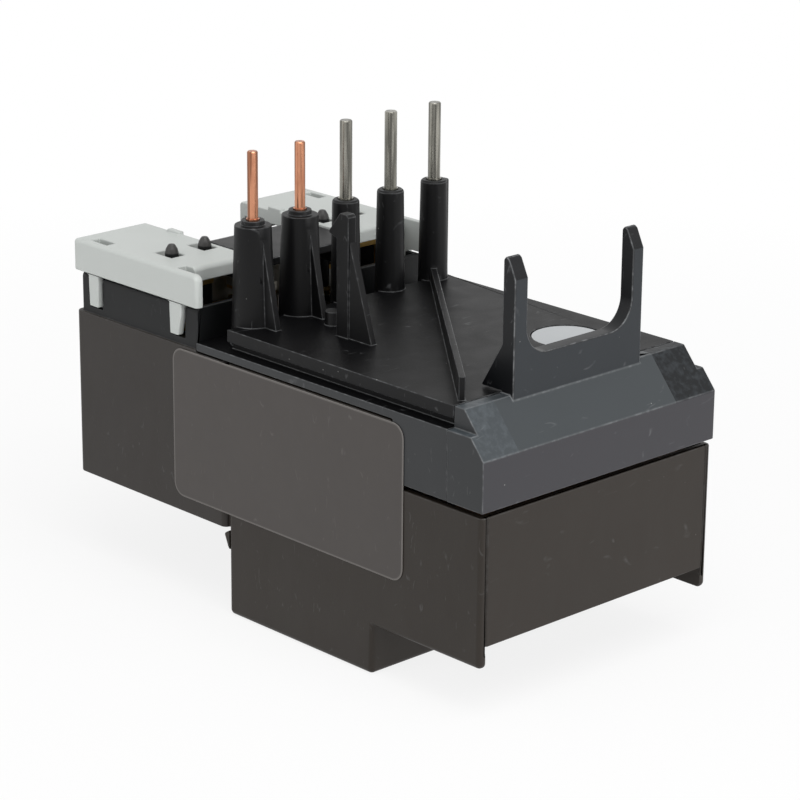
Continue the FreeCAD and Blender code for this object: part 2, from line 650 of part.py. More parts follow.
def rear_cover():
    """Sloping cover over the rear edge, with the two-pronged fork that hooks under the contactor."""
    body = new_body("rear_cover")
    rear, top, skin = size.hook_rear, size.plate_top, size.lid_skin
    start = size.plate_rear + 0.1
    outline = [(start, size.panel_under), (rear, size.panel_under), (rear, size.band_top),
               (size.slope_top_place, top), (start, top)]
    extrude(body, "YZ", outline, -size.hook_half, size.hook_half)
    for sign in (-1, 1):
        ends = span(sign * size.plate_half, sign * (size.hook_half + 1))
        slab(body, ends, (start - 1, rear + 1), (size.ledge_top, top + 1), cut=True)
    inner = size.plate_half - skin
    hollow = [(start - 1, size.panel_under - 1), (rear - skin, size.panel_under - 1),
              (rear - skin, size.band_top - 0.5),
              (size.slope_top_place - 0.6, top - skin), (start - 1, top - skin)]
    extrude(body, "YZ", hollow, -inner, inner, cut=True)
    side = size.side_face - skin
    slab(body, (-side, side), (start - 1, rear - skin), (size.panel_under - 1, size.band_top), cut=True)

    left, right, back = size.fork_left, size.fork_right, size.fork_rear
    front = back - size.fork_thick
    tip = size.prong_tip
    profile = [(front, top - skin), (back, top - skin), (back, tip - size.prong_bevel),
               (front + 1.0, tip - 0.3), (front + 0.6, tip), (front + 0.3, tip), (front, tip - 0.4)]
    extrude(body, "YZ", profile, left, right)
    throat = (left + size.prong_left, right - size.prong_right)
    extrude(body, "XZ", rectangle(*throat, size.fork_bottom, tip + 1), front - 1, back + 1, cut=True)

    def throat_corner(edge):
        aside = min(abs(middle(edge).x - side.value) for side in throat)
        return along(edge, Y) and at(middle(edge).z, "fork_bottom", 0.01) and aside < 0.01

    soften(body, size.fork_round, throat_corner)
    web = [(front, top + 0.2), (front - 3.6, top + 0.2), (front - 3.6, top + 0.5), (front, top + 6.6)]
    extrude(body, "YZ", web, right - 1.0, right)
    extrude(body, "YZ", web, left, left + 1.0)
    return keep(body, "rear_cover")


# ---- labels --------------------------------------------------------------------------------------

def rating_label():
    """Bare plastic label with rounded corners on the right side wall."""
    body = new_body("rating_label")
    side = size.side_face
    outline = rectangle(size.label_front, size.label_rear, size.label_under, size.label_top)
    extrude(body, "YZ", outline, side + size.label_gap, side + size.label_face)
    soften(body, size.label_corner, lambda edge: along(edge, X))
    return keep(body, "rating_label")


def date_sticker():
    """Bare round sticker in its shallow seat on the lid."""
    start = (size.sticker_across, size.sticker_depth, size.plate_top - size.sticker_seat)
    return keep(rod("date_sticker", "Z", start, size.sticker_radius, size.sticker_thick), "date_sticker")


# ---- current path --------------------------------------------------------------------------------

ELBOW_IN = Rotation(-X, -Z, -Y, "XYZ")
ELBOW_OUT = Rotation(Z, X, Y, "XYZ")


def elbow(name, centre, bend, radius, turn):
    """Quarter of a ring that joins two straight runs of a wire."""
    ring = document.addObject("Part::Torus", name + "_elbow")
    ring.Radius1 = bind(ring, "Radius1", bend)
    ring.Radius2 = bind(ring, "Radius2", radius)
    ring.Angle3 = 90
    place(ring, *centre, turn=turn)
    return ring


def bent_wire(name, start, end, tip, shoulder, run_level, end_level, radius, bend):
    """Round wire in one upright plane, drawn to size above its shoulder: down, across, down to its end."""
    along_x = (as_size(end[0]) - start[0]).value
    along_y = (as_size(end[1]) - start[1]).value
    across = math.hypot(along_x, along_y)
    turn = math.degrees(math.atan2(along_y, along_x))
    point = 0.15
    core = radius + size.wire_growth
    upper = run_level + bend
    lower = run_level - bend
    pieces = [
        rod(name + "_point", "Z", (0, 0, tip - point), radius, point, radius - 0.12),
        rod(name + "_exposed", "Z", (0, 0, shoulder), radius, tip - point - shoulder),
        rod(name + "_upright", "Z", (0, 0, upper), core, shoulder - upper),
        elbow(name + "_first", (bend, 0, upper), bend, core, ELBOW_IN),
        rod(name + "_run", "X", (bend, 0, run_level), core, across - 2 * bend),
        elbow(name + "_second", (across - bend, 0, lower), bend, core, ELBOW_OUT),
        rod(name + "_end", "Z", (across, 0, end_level), core, lower - end_level),
    ]
    wire = join(name, *pieces)
    place(wire, start[0], start[1], 0, turn=Rotation(Z, turn))
    return keep(wire, name)


def terminal_bar(side_name, step):
    """Bent copper bar from one main terminal to the rear end of its bimetal."""
    name = "terminal_bar_" + side_name
    body = new_body(name)
    centre = step * size.pole_pitch
    front, thick = size.bar_front, size.bar_thick
    back = size.upright_rear
    low = size.floor_under + size.wall + 0.4
    outline = [(front, 2.0), (front + thick, 2.0), (front + thick, low), (back, low), (back, size.strip_top),
               (back - thick, size.strip_top), (back - thick, low + thick), (front, low + thick)]
    extrude(body, "YZ", outline, centre - 2.5, centre + 2.5)
    soften(body, 1.0, lambda edge: along(edge, X) and middle(edge).z > low.value + 1.0
           and middle(edge).z < SIZES["strip_top"] - 1)
    return keep(body, name)


def bimetal_strip(side_name, step):
    """Flat strip that bends sideways as it warms; its tip is narrowed where the slides hold it."""
    name = "bimetal_strip_" + side_name
    body = new_body(name)
    centre = step * size.pole_pitch
    half = size.strip_thick * 0.5
    low, high, rear = size.strip_under, size.strip_top, size.strip_rear
    outline = [(rear, low), (rear, high), (1.5, high), (0.3, high - 1.6), (size.strip_front, high - 1.6),
               (size.strip_front, low + 1.6), (0.3, low + 1.6), (1.5, low)]
    extrude(body, "YZ", outline, centre - half, centre + half)
    return keep(body, name)


def heater_winding(side_name, step):
    """Ribbon heater round one bimetal: open turns joined by short risers on alternate sides."""
    name = "heater_winding_" + side_name
    body = new_body(name)
    centre = step * size.pole_pitch
    near = size.strip_thick * 0.5 + size.turn_gap
    far = near + size.ribbon
    low, high = size.strip_under - size.turn_gap, size.strip_top + size.turn_gap
    ribbon, width, pitch = size.ribbon, size.ribbon_width, size.turn_pitch
    start = as_size(8.0)
    turn = slab(body, (centre - far, centre + far), (start, start + width), (low - ribbon, high + ribbon))
    riser = slab(body, (centre + near, centre + far), (start + width, start + pitch), (low + 2, low + 3.4))
    turns = 8
    repeat(body, [turn, riser], turns, (turns - 1) * pitch, "Y_Axis", backwards=False)
    end = start + turns * pitch
    slab(body, (centre - near, centre + near), (start - 1, end + 1), (low, high), cut=True)
    slab(body, (centre + near - size.turn_gap, centre + far), (end - 0.4, end + 5.6), (low + 2, low + 3.4))
    slab(body, (centre + near, centre + far), (start - 1.4, start), (high - 2, high + ribbon))
    return keep(body, name)


def main_clamp(side_name, step):
    """Cage that the terminal screw draws forward to press the wire against the bar."""
    name = "main_clamp_" + side_name
    body = new_body(name)
    centre = step * size.pole_pitch
    half, wall = size.clamp_half, size.clamp_wall
    front, rear = size.clamp_front, size.clamp_rear
    low, high = size.clamp_under, size.clamp_top
    slab(body, (centre - half, centre + half), (front, rear), (low, high))
    soften(body, 0.6, lambda edge: along(edge, Z))
    window = (centre - half + 1, centre + half - 1)
    slab(body, window, (front + wall, rear - wall + 0.2), (low - 1, high + 1), cut=True)
    thread = ((centre, size.clamp_level), size.screw_radius + size.running_gap)
    extrude(body, "XZ", thread, front - 1, front + wall + 0.1, cut=True)
    return keep(body, name)


def main_screw(side_name, step):
    """Terminal screw with a cross recess; its end bears on the bar."""
    name = "main_screw_" + side_name
    centre = step * size.pole_pitch
    level = size.clamp_level
    head = rod(name, "Y", (centre, -3.4, level), size.screw_head, 2.2)
    shank = rod(name, "Y", (centre, -1.2, level), size.screw_radius, size.bar_front - 0.05 + 1.2)
    bar_one = block(name + "_a", (centre - 2.0, centre + 2.0), (-3.5, -2.2), (level - 0.45, level + 0.45))
    bar_two = block(name + "_b", (centre - 0.45, centre + 0.45), (-3.5, -2.2), (level - 2.0, level + 2.0))
    return keep(less(name, join(name, head, shank), bar_one, bar_two), name)


def bimetal_carrier():
    """Insulating bar at the back of the base that holds the three uprights."""
    body = new_body("bimetal_carrier")
    side = size.side_face - size.wall - 0.1
    floor = size.floor_under + size.wall
    slab(body, (-side, side), (size.upright_rear - 2.4, size.base_rear - size.wall - 0.1), (floor, 27.0))
    for _, step in POLES:
        centre = step * size.pole_pitch
        notch = (size.upright_rear - 3, size.upright_rear + 0.1)
        slab(body, (centre - 2.6, centre + 2.6), notch, (floor - 1, 28.0), cut=True)
    return keep(body, "bimetal_carrier")


def screw_clamp(name, centre, low):
    """One small cage clamp and its slotted screw, as two loose pieces."""
    depth = size.control_depth
    cage = block(name, (centre - 2.55, centre + 2.55), (depth - 2.6, depth + 2.6), (low, low + 8.4))
    hole = block(name + "_hole", (centre - 1.8, centre + 1.8), (depth - 4, depth + 4), (low + 0.9, low + 7.2))
    tap = rod(name + "_tap", "Z", (centre, depth, low + 6), 1.5, 3)
    head = rod(name + "_head", "Z", (centre, depth, low + 9.0), 2.4, 1.8)
    shank = rod(name + "_shank", "Z", (centre, depth, low + 6.8), 1.4, 2.2)
    slot = block(name + "_slot", (centre - 3, centre + 3), (depth - 0.4, depth + 0.4), (low + 9.9, low + 11))
    return less(name, cage, hole, tap), less(name + "_screw", join(name + "_screw", head, shank), slot)


def contact_plate(name, sign, place_of_tongue, depth):
    """Brass plate from a control clamp to one contact rivet beside the rocker."""
    low, high = 38.3, 39.0
    half = 0.8
    near, far = (sign * edge for edge in place_of_tongue)
    tongue = block(name, span(near, far), (size.plate_start, depth + half), (low, high))
    arm = block(name + "_arm", span(sign * 3.6, far), (depth - half, depth + half), (low, high))
    rivet = rod(name + "_rivet", "Z", (sign * 4.5, depth, high), 0.75, 0.5)
    return join(name, tongue, arm, rivet)


def control_terminals():
    """Clamps and screws of the six control terminals, four above and two below."""
    clamps, screws = [], []
    upper = [sign * (size.control_first + step * size.control_pitch) for sign in (-1, 1) for step in (0, 1)]
    places = [(centre, 33.2) for centre in upper]
    places += [(size.auxiliary_terminal, 17.6), (size.coil_terminal, 17.6)]
    for number, (centre, low) in enumerate(places):
        cage, screw = screw_clamp("control_clamp_" + str(number), centre, low)
        clamps.append(cage)
        screws.append(screw)
    keep(group("control_clamps", *clamps), "control_clamps")
    keep(group("control_screws", *screws), "control_screws")
    for side_name, sign in (("no", 1), ("nc", -1)):
        near = contact_plate(side_name + "_near", sign, (11.9, 13.2), -24.6)
        inner, outer, thickness = 18.6, 19.6, (-19.2, -18.6)
        plate = contact_plate(side_name + "_far", sign, (inner, outer), -19.4)
        riser = block(side_name + "_riser", span(sign * inner, sign * outer), thickness, (38.6, 45.6))
        strap = block(side_name + "_strap", span(sign * 13.2, sign * outer), thickness, (44.4, 45.6))
        far = join(side_name + "_far_plate", plate, riser, strap)
        keep(group(side_name + "_contacts", near, far), side_name + "_contacts")
    plates = []
    for centre in (size.auxiliary_terminal, size.coil_terminal):
        thickness = (size.link_plate, size.link_plate + 0.7)
        plates.append(block("link_plate", (centre - 1.3, centre + 1.3), (size.plate_start, -18.0), thickness))
    keep(group("link_plates", *plates), "link_plates")


# ---- mechanism -----------------------------------------------------------------------------------

def comb_slide(name, depth, post):
    """Comb plate with one window for each bimetal tip, and an upright finger for the trip lever."""
    body = new_body(name)
    floor = size.floor_under + size.wall
    half = size.strip_thick * 0.5 + 0.15
    slab(body, (-19.2, 18.0), (depth, depth + 1.0), (floor + 0.1, 26.0))
    for _, step in POLES:
        centre = step * size.pole_pitch
        slack = size.slide_travel + 0.1
        slab(body, (centre - half - slack, centre + half), (depth - 1, depth + 2), (18.6, 23.4), cut=True)
    if post is not None:
        slab(body, (post, post + 0.9), (depth, depth + 1.0), (26.0, 31.4))
    return keep(body, name)


def trip_lever():
    """Lever that swings on the frame's pin: the drive slide pushes its rear arm, and the
    temperature-compensating strip is its front arm."""
    across, depth, low, high = size.lever_across, size.lever_depth, 29.0, 31.0
    hub = rod("trip_lever", "Z", (across, depth, 28.6), 1.7, 2.8)
    arm = block("trip_lever_arm", (across - 0.6, across + 0.6), (depth, -0.7), (low, high))
    tail = block("trip_lever_tail", (across - 0.2, across + 1.0), (depth - 3.1, depth), (low, high))
    bore = rod("trip_lever_bore", "Z", (across, depth, 28), size.lever_pin + size.running_gap, 4)
    keep(less("trip_lever", join("trip_lever", hub, arm, tail), bore), "trip_lever")
    strip = block("compensation_strip", (across + 1.0, across + 1.6), (-21.4, depth - 1.4), (28.4, 31.6))
    relief = rod("compensation_strip_relief", "Z", (across, depth, 28), 1.75, 4)
    keep(less("compensation_strip", strip, relief), "compensation_strip")


def mechanism_frame():
    """Plate across the bezel that carries the dial shaft, the button stems and the lever pins."""
    body = new_body("mechanism_frame")
    wall = size.wall
    half = size.bezel_half - wall - 0.1
    front = size.frame_front
    rear = front + size.frame_thick
    slab(body, (-half, half), (front, rear), (size.bezel_under + wall, 45.6))
    slab(body, (-half, half), (rear, -6.9), (size.bezel_under + wall, size.bezel_under + wall + 1.2))
    pivot = (size.lever_across, size.lever_depth)
    extrude(body, "XY", (pivot, size.lever_pin), size.bezel_under + wall, 32.2)
    extrude(body, "XY", (pivot, 2.0), size.bezel_under + wall, 28.4)
    through = (front - 1, rear + 0.1)
    extrude(body, "XZ", ((0, size.dial_level), size.shaft_radius + size.running_gap), *through, cut=True)
    for sign in (-1, 1):
        stem = ((sign * size.button_place, size.button_level), 1.4 + size.running_gap)
        extrude(body, "XZ", stem, *through, cut=True)
    slab(body, (-1.7, 1.7), through, (size.rocker_level + 0.75, size.bezel_top), cut=True)
    extrude(body, "XZ", ((-5.4, 17.9), 0.9), front - 3.4, front)
    extrude(body, "XZ", ((0, size.rocker_level), size.rocker_pin), rear - 0.1, -16.6)
    return keep(body, "mechanism_frame")


def current_dial():
    """Adjusting dial with a screwdriver slot, a retaining collar and its shaft."""
    level, radius = size.dial_level, size.dial_radius
    face = rod("current_dial", "Y", (0, -45.4, level), radius, 1.4)
    collar = rod("current_dial_collar", "Y", (0, -44.1, level), 6.3, 1.0)
    shaft = rod("current_dial_shaft", "Y", (0, -43.2, level), size.shaft_radius, 17.4)
    slot = block("current_dial_slot", (-4.2, 4.2), (-46, -44.7), (level - 0.6, level + 0.6))
    return keep(less("current_dial", join("current_dial", face, collar, shaft), slot), "current_dial")


def dial_cam():
    """Spiral cam on the dial shaft: its radius grows evenly round three quarters of a turn."""
    least, rise = SIZES["cam_least"], SIZES["cam_rise"]
    sweep = 270
    centre = SIZES["dial_level"]
    points = []
    for step in range(0, sweep + 1, 30):
        angle = math.radians(180 + step)
        reach = least + rise * step / sweep
        points.append(Vector(reach * math.cos(angle), -31.2, centre + reach * math.sin(angle)))
    curve = Part.BSplineCurve()
    curve.interpolate(points)
    close = Part.Arc(points[-1], Vector(-least * 0.85, -31.2, centre + least * 0.85), points[0])
    outline = Part.Wire([curve.toShape(), close.toShape()])
    disc = Part.Face(outline).extrude(Vector(0, 2.0, 0))
    bore = Part.makeCylinder(SIZES["shaft_radius"], 4, Vector(0, -32, centre), Y)
    cam = document.addObject("Part::Feature", "dial_cam_shape")
    cam.Shape = disc.cut(bore)
    return keep(cam, "dial_cam")


def adjusting_lever():
    """Follower lever beside the cam, swinging on the frame's lower pin."""
    level = 17.9
    depth = (-31.2, -29.2)
    arm = block("adjusting_lever", (-5.9, -4.9), depth, (level, 25.0))
    hub = rod("adjusting_lever_hub", "Y", (-5.4, -31.2, level), 1.6, 2.0)
    nose = block("adjusting_lever_nose", (-5.9, -(size.cam_least + 0.2)), depth, (23.6, 24.6))
    bore = rod("adjusting_lever_bore", "Y", (-5.4, -32, level), 0.95, 4)
    return keep(less("adjusting_lever", join("adjusting_lever", arm, hub, nose), bore), "adjusting_lever")


def push_button(name, sign):
    """Round button with a collar behind the bezel and a stem that runs in the frame."""
    centre = sign * size.button_place
    level = size.button_level
    cap = rod(name, "Y", (centre, -45.4, level), size.button_radius, 1.4)
    collar = rod(name + "_collar", "Y", (centre, -44.1, level), 3.2, 1.0)
    stem = rod(name + "_stem", "Y", (centre, -43.2, level), 1.4, 17.6)
    return keep(join(name, cap, collar, stem), name)


def coil_spring(name, start, length, radius, wire, turns):
    """Compression spring of round wire that runs along Y from its start."""
    helix = Part.makeHelix(length / turns, length, radius)
    ring = Part.Wire(Part.Circle(Vector(radius, 0, 0), Y, wire).toShape())
    solid = Part.Wire(helix).makePipeShell([ring], True, True)
    spring = document.addObject("Part::Feature", name + "_shape")
    spring.Shape = solid
    spring.Placement = Placement(Vector(*start), TURNS["Y"])
    return keep(spring, name)


def snap_spring():
    """Folded leaf between the rocker's beam and the bezel's roof."""
    body = new_body("snap_spring")
    low, high = size.rocker_level + 0.62, size.bezel_top - size.wall - 0.02
    leaf = 0.25
    middle_level = (low + high) * 0.5
    outline = [(3.2, low), (5.4, low), (5.4, low + leaf), (3.7, low + leaf), (5.3, middle_level),
               (3.7, high - leaf), (5.4, high - leaf), (5.4, high), (3.2, high), (4.95, middle_level)]
    extrude(body, "XZ", outline, -22.2, -20.8)
    return keep(body, "snap_spring")


def rocker():
    """Snap rocker of the trip contacts, with its two contact bridges and the trip flag."""
    level = size.rocker_level
    under = level - 0.6
    hub = rod("trip_rocker", "Y", (0, -25.4, level), 1.9, 8.6)
    beam = block("trip_rocker_beam", (-5.6, 5.6), (-24.9, -17.9), (under, level + 0.6))
    stem = block("trip_rocker_stem", (-5.2, -3.8), (-22.6, -20.4), (40.05, level))
    tail = block("trip_rocker_tail", (-1.4, -0.2), (-21.5, -20.0), (28.6, 40.5))
    bore = rod("trip_rocker_bore", "Y", (0, -26, level), size.rocker_pin + size.running_gap, 10)
    keep(less("trip_rocker", join("trip_rocker", hub, beam, stem, tail), bore), "trip_rocker")
    rows = (-25.2, -17.8)
    keep(block("nc_bridge", (-5.2, -3.8), rows, (39.55, 40.05)), "nc_bridge")
    keep(block("no_bridge", (3.8, 5.2), rows, (40.75, under)), "no_bridge")
    riser = block("trip_flag_riser", (-0.6, 0.6), (-19.4, -18.0), (level + 0.6, 43.7))
    arm = block("trip_flag_arm", (-0.6, 0.6), (-33.2, -18.0), (43.1, 43.7))
    flag = block("trip_flag_tip", (-1.0, 1.0), (-33.2, -30.6), (43.1, 44.6))
    recess = rod("trip_flag_recess", "Y", (0, -26, level), 1.95, 10)
    keep(less("trip_flag", join("trip_flag", riser, arm, flag), recess), "trip_flag")


def build_shells():
    for make in (base_housing, front_housing, front_bezel, top_lid, rear_cover, rating_label, date_sticker):
        make()
    terminal_cover("terminal_cover_left", -1)
    terminal_cover("terminal_cover_right", 1)


def build_current_path():
    first, pitch, row = size.first_pin, size.pin_pitch, size.pin_row
    shoulder = size.sleeve_neck + 0.15
    link = (size.link_tip, shoulder, 26.0, 23.35, size.link_radius, 2.2)
    bent_wire("coil_link", (first, row), (size.coil_terminal, -19.2), *link)
    bent_wire("auxiliary_link", (first - pitch, row), (size.auxiliary_terminal + 0.3, -19.2), *link)
    main = (size.pin_tip, shoulder, 33.6, 24.4, size.pin_radius, 2.4)
    for number, (side_name, step) in enumerate(POLES):
        start = (first - (4 - number) * pitch, row)
        end = (step * size.pole_pitch + 0.4 + 1.7, 5.4)
        bent_wire("main_pin_" + side_name, start, end, *main)
        terminal_bar(side_name, step)
        bimetal_strip(side_name, step)
        heater_winding(side_name, step)
        main_clamp(side_name, step)
        main_screw(side_name, step)


def build_mechanism():
    comb_slide("drive_slide", -1.7, size.lever_across - 1.7)
    comb_slide("differential_slide", -3.1, None)
    trip_lever()
    mechanism_frame()
    current_dial()
    dial_cam()
    adjusting_lever()
    push_button("reset_button", -1)
    push_button("stop_button", 1)
    for name, sign in (("reset_spring", -1), ("stop_spring", 1)):
        start = (sign * SIZES["button_place"], -42.8, SIZES["button_level"])
        coil_spring(name, start, length=14.5, radius=2.0, wire=0.28, turns=7)
    snap_spring()
    rocker()


build_shells()
build_current_path()
bimetal_carrier()
control_terminals()
build_mechanism()
document.recompute()

for item in document.Objects:
    if any(word in item.State for word in ("Invalid", "Error")):
        raise RuntimeError("failed object: " + item.Name + " " + item.Label)
for node in NODES:
    if node.Shape.isNull() or not node.Shape.isValid():
        raise RuntimeError("bad shape: " + node.Label)

os.makedirs("parts", exist_ok=True)
for node in NODES:
    node.Shape.exportStep("parts/" + node.Label + ".step")
    print(node.Label, round(node.Shape.Volume, 1), len(node.Shape.Solids))
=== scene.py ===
import json
import math

import bmesh
import bpy
from mathutils import Euler, Matrix, Vector


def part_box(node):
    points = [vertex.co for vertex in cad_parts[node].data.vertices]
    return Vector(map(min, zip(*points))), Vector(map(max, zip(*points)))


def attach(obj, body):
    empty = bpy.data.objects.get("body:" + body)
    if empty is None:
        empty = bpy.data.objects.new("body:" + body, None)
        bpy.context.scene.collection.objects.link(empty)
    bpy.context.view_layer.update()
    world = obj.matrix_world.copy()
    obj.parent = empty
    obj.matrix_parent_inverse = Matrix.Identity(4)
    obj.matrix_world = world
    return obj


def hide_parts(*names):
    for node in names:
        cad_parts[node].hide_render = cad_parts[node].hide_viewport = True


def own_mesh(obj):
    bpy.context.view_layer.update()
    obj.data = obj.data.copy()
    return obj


# Thermal overload relay: housings, covers, pins and mechanism with their moulded and metal finishes.
# Metres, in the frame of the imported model: front towards -Y, connecting pins up.

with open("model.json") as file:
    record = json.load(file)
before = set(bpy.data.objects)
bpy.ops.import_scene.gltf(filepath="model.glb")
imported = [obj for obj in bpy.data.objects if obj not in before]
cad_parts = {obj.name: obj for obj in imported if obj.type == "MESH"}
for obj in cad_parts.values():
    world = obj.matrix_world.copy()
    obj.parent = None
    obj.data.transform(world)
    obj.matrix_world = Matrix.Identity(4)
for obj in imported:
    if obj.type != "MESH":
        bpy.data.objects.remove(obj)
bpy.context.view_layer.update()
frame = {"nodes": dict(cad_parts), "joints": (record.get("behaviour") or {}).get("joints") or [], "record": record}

MM = 0.001
BODY = {node: body for body, members in frame["record"]["behaviour"]["bodies"].items() for node in members}

# Levels and places on the part, in millimetres, that tell one finish from the next; most of them mark where a
# painted shade or painted light starts, and the worn ends are real rubbing.
BAND_TOP = 35.9
CHAMBER_FLOOR = 37.8
CHAMBER_HALF = 22.1
LID_WALL_TOP = 39.4
LID_PLATE_TOP = 43.0
FORK_FOOT = 43.0
PEG_FOOT = 48.6
WORN_LEFT, WORN_RIGHT = -14.4, 15.9


# ---- shader toolkit ------------------------------------------------------------------------------

def shade(red, green, blue):
    """A display colour, 0 to 255, as the linear colour that shaders take."""
    linear = [((part / 255 + 0.055) / 1.055) ** 2.4 if part > 10 else part / 255 / 12.92
              for part in (red, green, blue)]
    return (*linear, 1.0)


class Signal:
    """What one node's socket gives out; arithmetic on it adds Math nodes."""

    def __init__(self, finish, socket):
        self.finish = finish
        self.socket = socket

    def math(self, operation, *terms):
        return self.finish.node("ShaderNodeMath", {"operation": operation}, dict(enumerate(terms)))

    def __add__(self, other):
        return self.math("ADD", self, other)

    def __radd__(self, other):
        return self.math("ADD", other, self)

    def __sub__(self, other):
        return self.math("SUBTRACT", self, other)

    def __rsub__(self, other):
        return self.math("SUBTRACT", other, self)

    def __mul__(self, other):
        return self.math("MULTIPLY", self, other)

    def __rmul__(self, other):
        return self.math("MULTIPLY", other, self)

    def __gt__(self, other):
        return self.math("GREATER_THAN", self, other)

    def __abs__(self):
        return self.math("ABSOLUTE", self)

    def held(self):
        """The value kept between 0 and 1."""
        return self.finish.node("ShaderNodeMath", {"operation": "ADD", "use_clamp": True}, {0: self, 1: 0.0})


class Finish:
    """One procedural material, or the world's light."""

    def __init__(self, name, holder=None):
        self.material = holder or bpy.data.materials.new(name)
        self.material.use_nodes = True
        self.tree = self.material.node_tree
        self.tree.nodes.clear()
        self.where = None

    def node(self, kind, settings=None, inputs=None, output=0):
        """Adds a node: settings first, then the values or links of its sockets."""
        item = self.tree.nodes.new(kind)
        for key, value in (settings or {}).items():
            if key == "stops":
                ramp = item.color_ramp
                while len(ramp.elements) < len(value):
                    ramp.elements.new(0.5)
                for element, (position, colour) in zip(ramp.elements, value):
                    element.position = position
                    element.color = colour
            else:
                setattr(item, key, value)
        for key, value in (inputs or {}).items():
            socket = item.inputs[key]
            if isinstance(value, Signal):
                self.tree.links.new(value.socket, socket)
            else:
                socket.default_value = value
        return Signal(self, item.outputs[output]) if len(item.outputs) else None

    def millimetres(self):
        """The place on the object in millimetres."""
        if self.where is None:
            place = self.node("ShaderNodeTexCoord", output="Object")
            self.where = self.vector("SCALE", place, Scale=1000.0)
        return self.where

    def vector(self, operation, first, second=None, output=0, **named):
        """Vector arithmetic on places, in millimetres where its input is."""
        inputs = {0: first, **named}
        if second is not None:
            inputs[1] = second
        return self.node("ShaderNodeVectorMath", {"operation": operation}, inputs, output)

    def blend(self, factor, first, second):
        """Mixes two colours."""
        return self.node("ShaderNodeMix", {"data_type": "RGBA", "blend_type": "MIX"},
                         {0: factor, 6: first, 7: second}, output=2)

    def noise(self, scale, detail=2.0, stretch=None, turn=None, distortion=0.0):
        """Cloudy noise with about `scale` features in a millimetre."""
        place = self.millimetres()
        if turn is not None or stretch is not None:
            place = self.node("ShaderNodeMapping", {"vector_type": "POINT"},
                              {"Vector": place, "Rotation": Euler(turn or (0, 0, 0)),
                               "Scale": stretch or (1, 1, 1)})
        return self.node("ShaderNodeTexNoise", {"noise_dimensions": "3D"},
                         {"Vector": place, "Scale": scale, "Detail": detail, "Distortion": distortion})

    def specks(self, scale, radius, share):
        """Small round spots, in that share of the cells."""
        inputs = {"Vector": self.millimetres(), "Scale": scale, "Randomness": 1.0}
        distance = self.node("ShaderNodeTexVoronoi", {"feature": "F1"}, inputs)
        cell = self.node("ShaderNodeTexVoronoi", {"feature": "F1"}, inputs, output="Color")
        chosen = self.node("ShaderNodeSeparateColor", None, {"Color": cell}) > 1.0 - share
        return ((1.0 - distance * (1.0 / radius)).held() * chosen).held()

    def axis(self, index):
        """One coordinate of the place on the object, in millimetres."""
        return self.node("ShaderNodeSeparateXYZ", None, {"Vector": self.millimetres()}, output=index)

    def hairs(self, turn, share=0.60):
        """Sparse, nearly straight hair scratches that lie along one turned direction."""
        field = self.noise(0.11, 1.0, turn=turn, stretch=(1.0, 5.0, 1.4))
        patches = self.noise(0.38, 2.0, turn=turn, stretch=(0.6, 1.6, 1.6))
        line = (1.0 - abs(field - 0.5) * 55.0).held()
        return (line * ((patches - share) * 9.0).held()).held()

    def worn_edge(self):
        """1 on the rounded edges that dressed() made, where a part gets rubbed; the moulded plastics and the label
        also get a painted edge highlight there.
        """
        return self.node("ShaderNodeAttribute", {"attribute_name": "worn_edge"}, None, output="Fac")

    def bump(self, height, depth):
        """A normal from a height of 0 to 1 that stands for a depth in millimetres."""
        return self.node("ShaderNodeBump", None, {"Height": height, "Distance": depth * MM, "Strength": 1.0})

    def surface(self, **inputs):
        """Closes the material with its main shader."""
        names = {key.replace("_", " "): value for key, value in inputs.items()}
        shader = self.node("ShaderNodeBsdfPrincipled", None, names)
        self.node("ShaderNodeOutputMaterial", None, {"Surface": shader})
        return self.material


def scaled(colour, amount):
    """The same colour, lighter or darker by a factor."""
    return (*[min(1.0, part * amount) for part in colour[:3]], 1.0)


def moulded_layers(finish, body, dust, edge_wear_and_highlight):
    """Rubbed edges with a painted edge highlight on them, hair scratches, dust and lint over a plastic's colour,
    with its gloss and grain.
    """
    smears = finish.noise(0.22, 4.0, stretch=(1.0, 1.0, 0.45), distortion=0.6)
    fine = finish.noise(4.5, 2.0)
    pores = finish.noise(11.0, 1.0)
    dots = finish.specks(0.42, 0.042, 0.34)
    lint = finish.specks(0.17, 0.022, 0.45)
    hairs = (finish.hairs((0.3, 0.2, 0.5)) + finish.hairs((1.1, 0.4, 2.1), 0.63)).held()
    knocks = ((finish.noise(0.9, 4.0) - 0.46) * 6.0).held()
    worn = finish.worn_edge() * (0.35 + knocks * 0.65)
    # Rounded edges lightened towards pale grey: partly rubbed with knocks, partly a painted edge highlight.
    body = finish.blend((worn * edge_wear_and_highlight).held(), body, shade(150, 152, 154))
    body = finish.blend((hairs * 0.16 * dust).held(), body, shade(170, 172, 174))
    body = finish.blend(((dots + lint) * dust).held(), body, shade(205, 205, 202))
    rough = (smears - 0.5) * 0.16 + dots * 0.2 - worn * 0.06 + (fine - 0.5) * 0.08
    height = fine * 0.75 + pores * 0.25 + dots * 0.8 - hairs * 0.5
    return body, rough, height


def dial_pointer(finish):
    """1 inside a small printed triangle on the bezel's front, which points down at the dial."""
    top, tip, behind = 31.9, 30.8, -45.0
    slope = 0.6
    sharpness = 20.0
    up = finish.axis(2)
    between_sides = (((up - tip) * slope - abs(finish.axis(0))) * sharpness).held()
    under_top = ((top - up) * sharpness).held()
    on_front = ((behind - finish.axis(1)) * 5.0).held()
    return (between_sides * under_top * on_front).held()


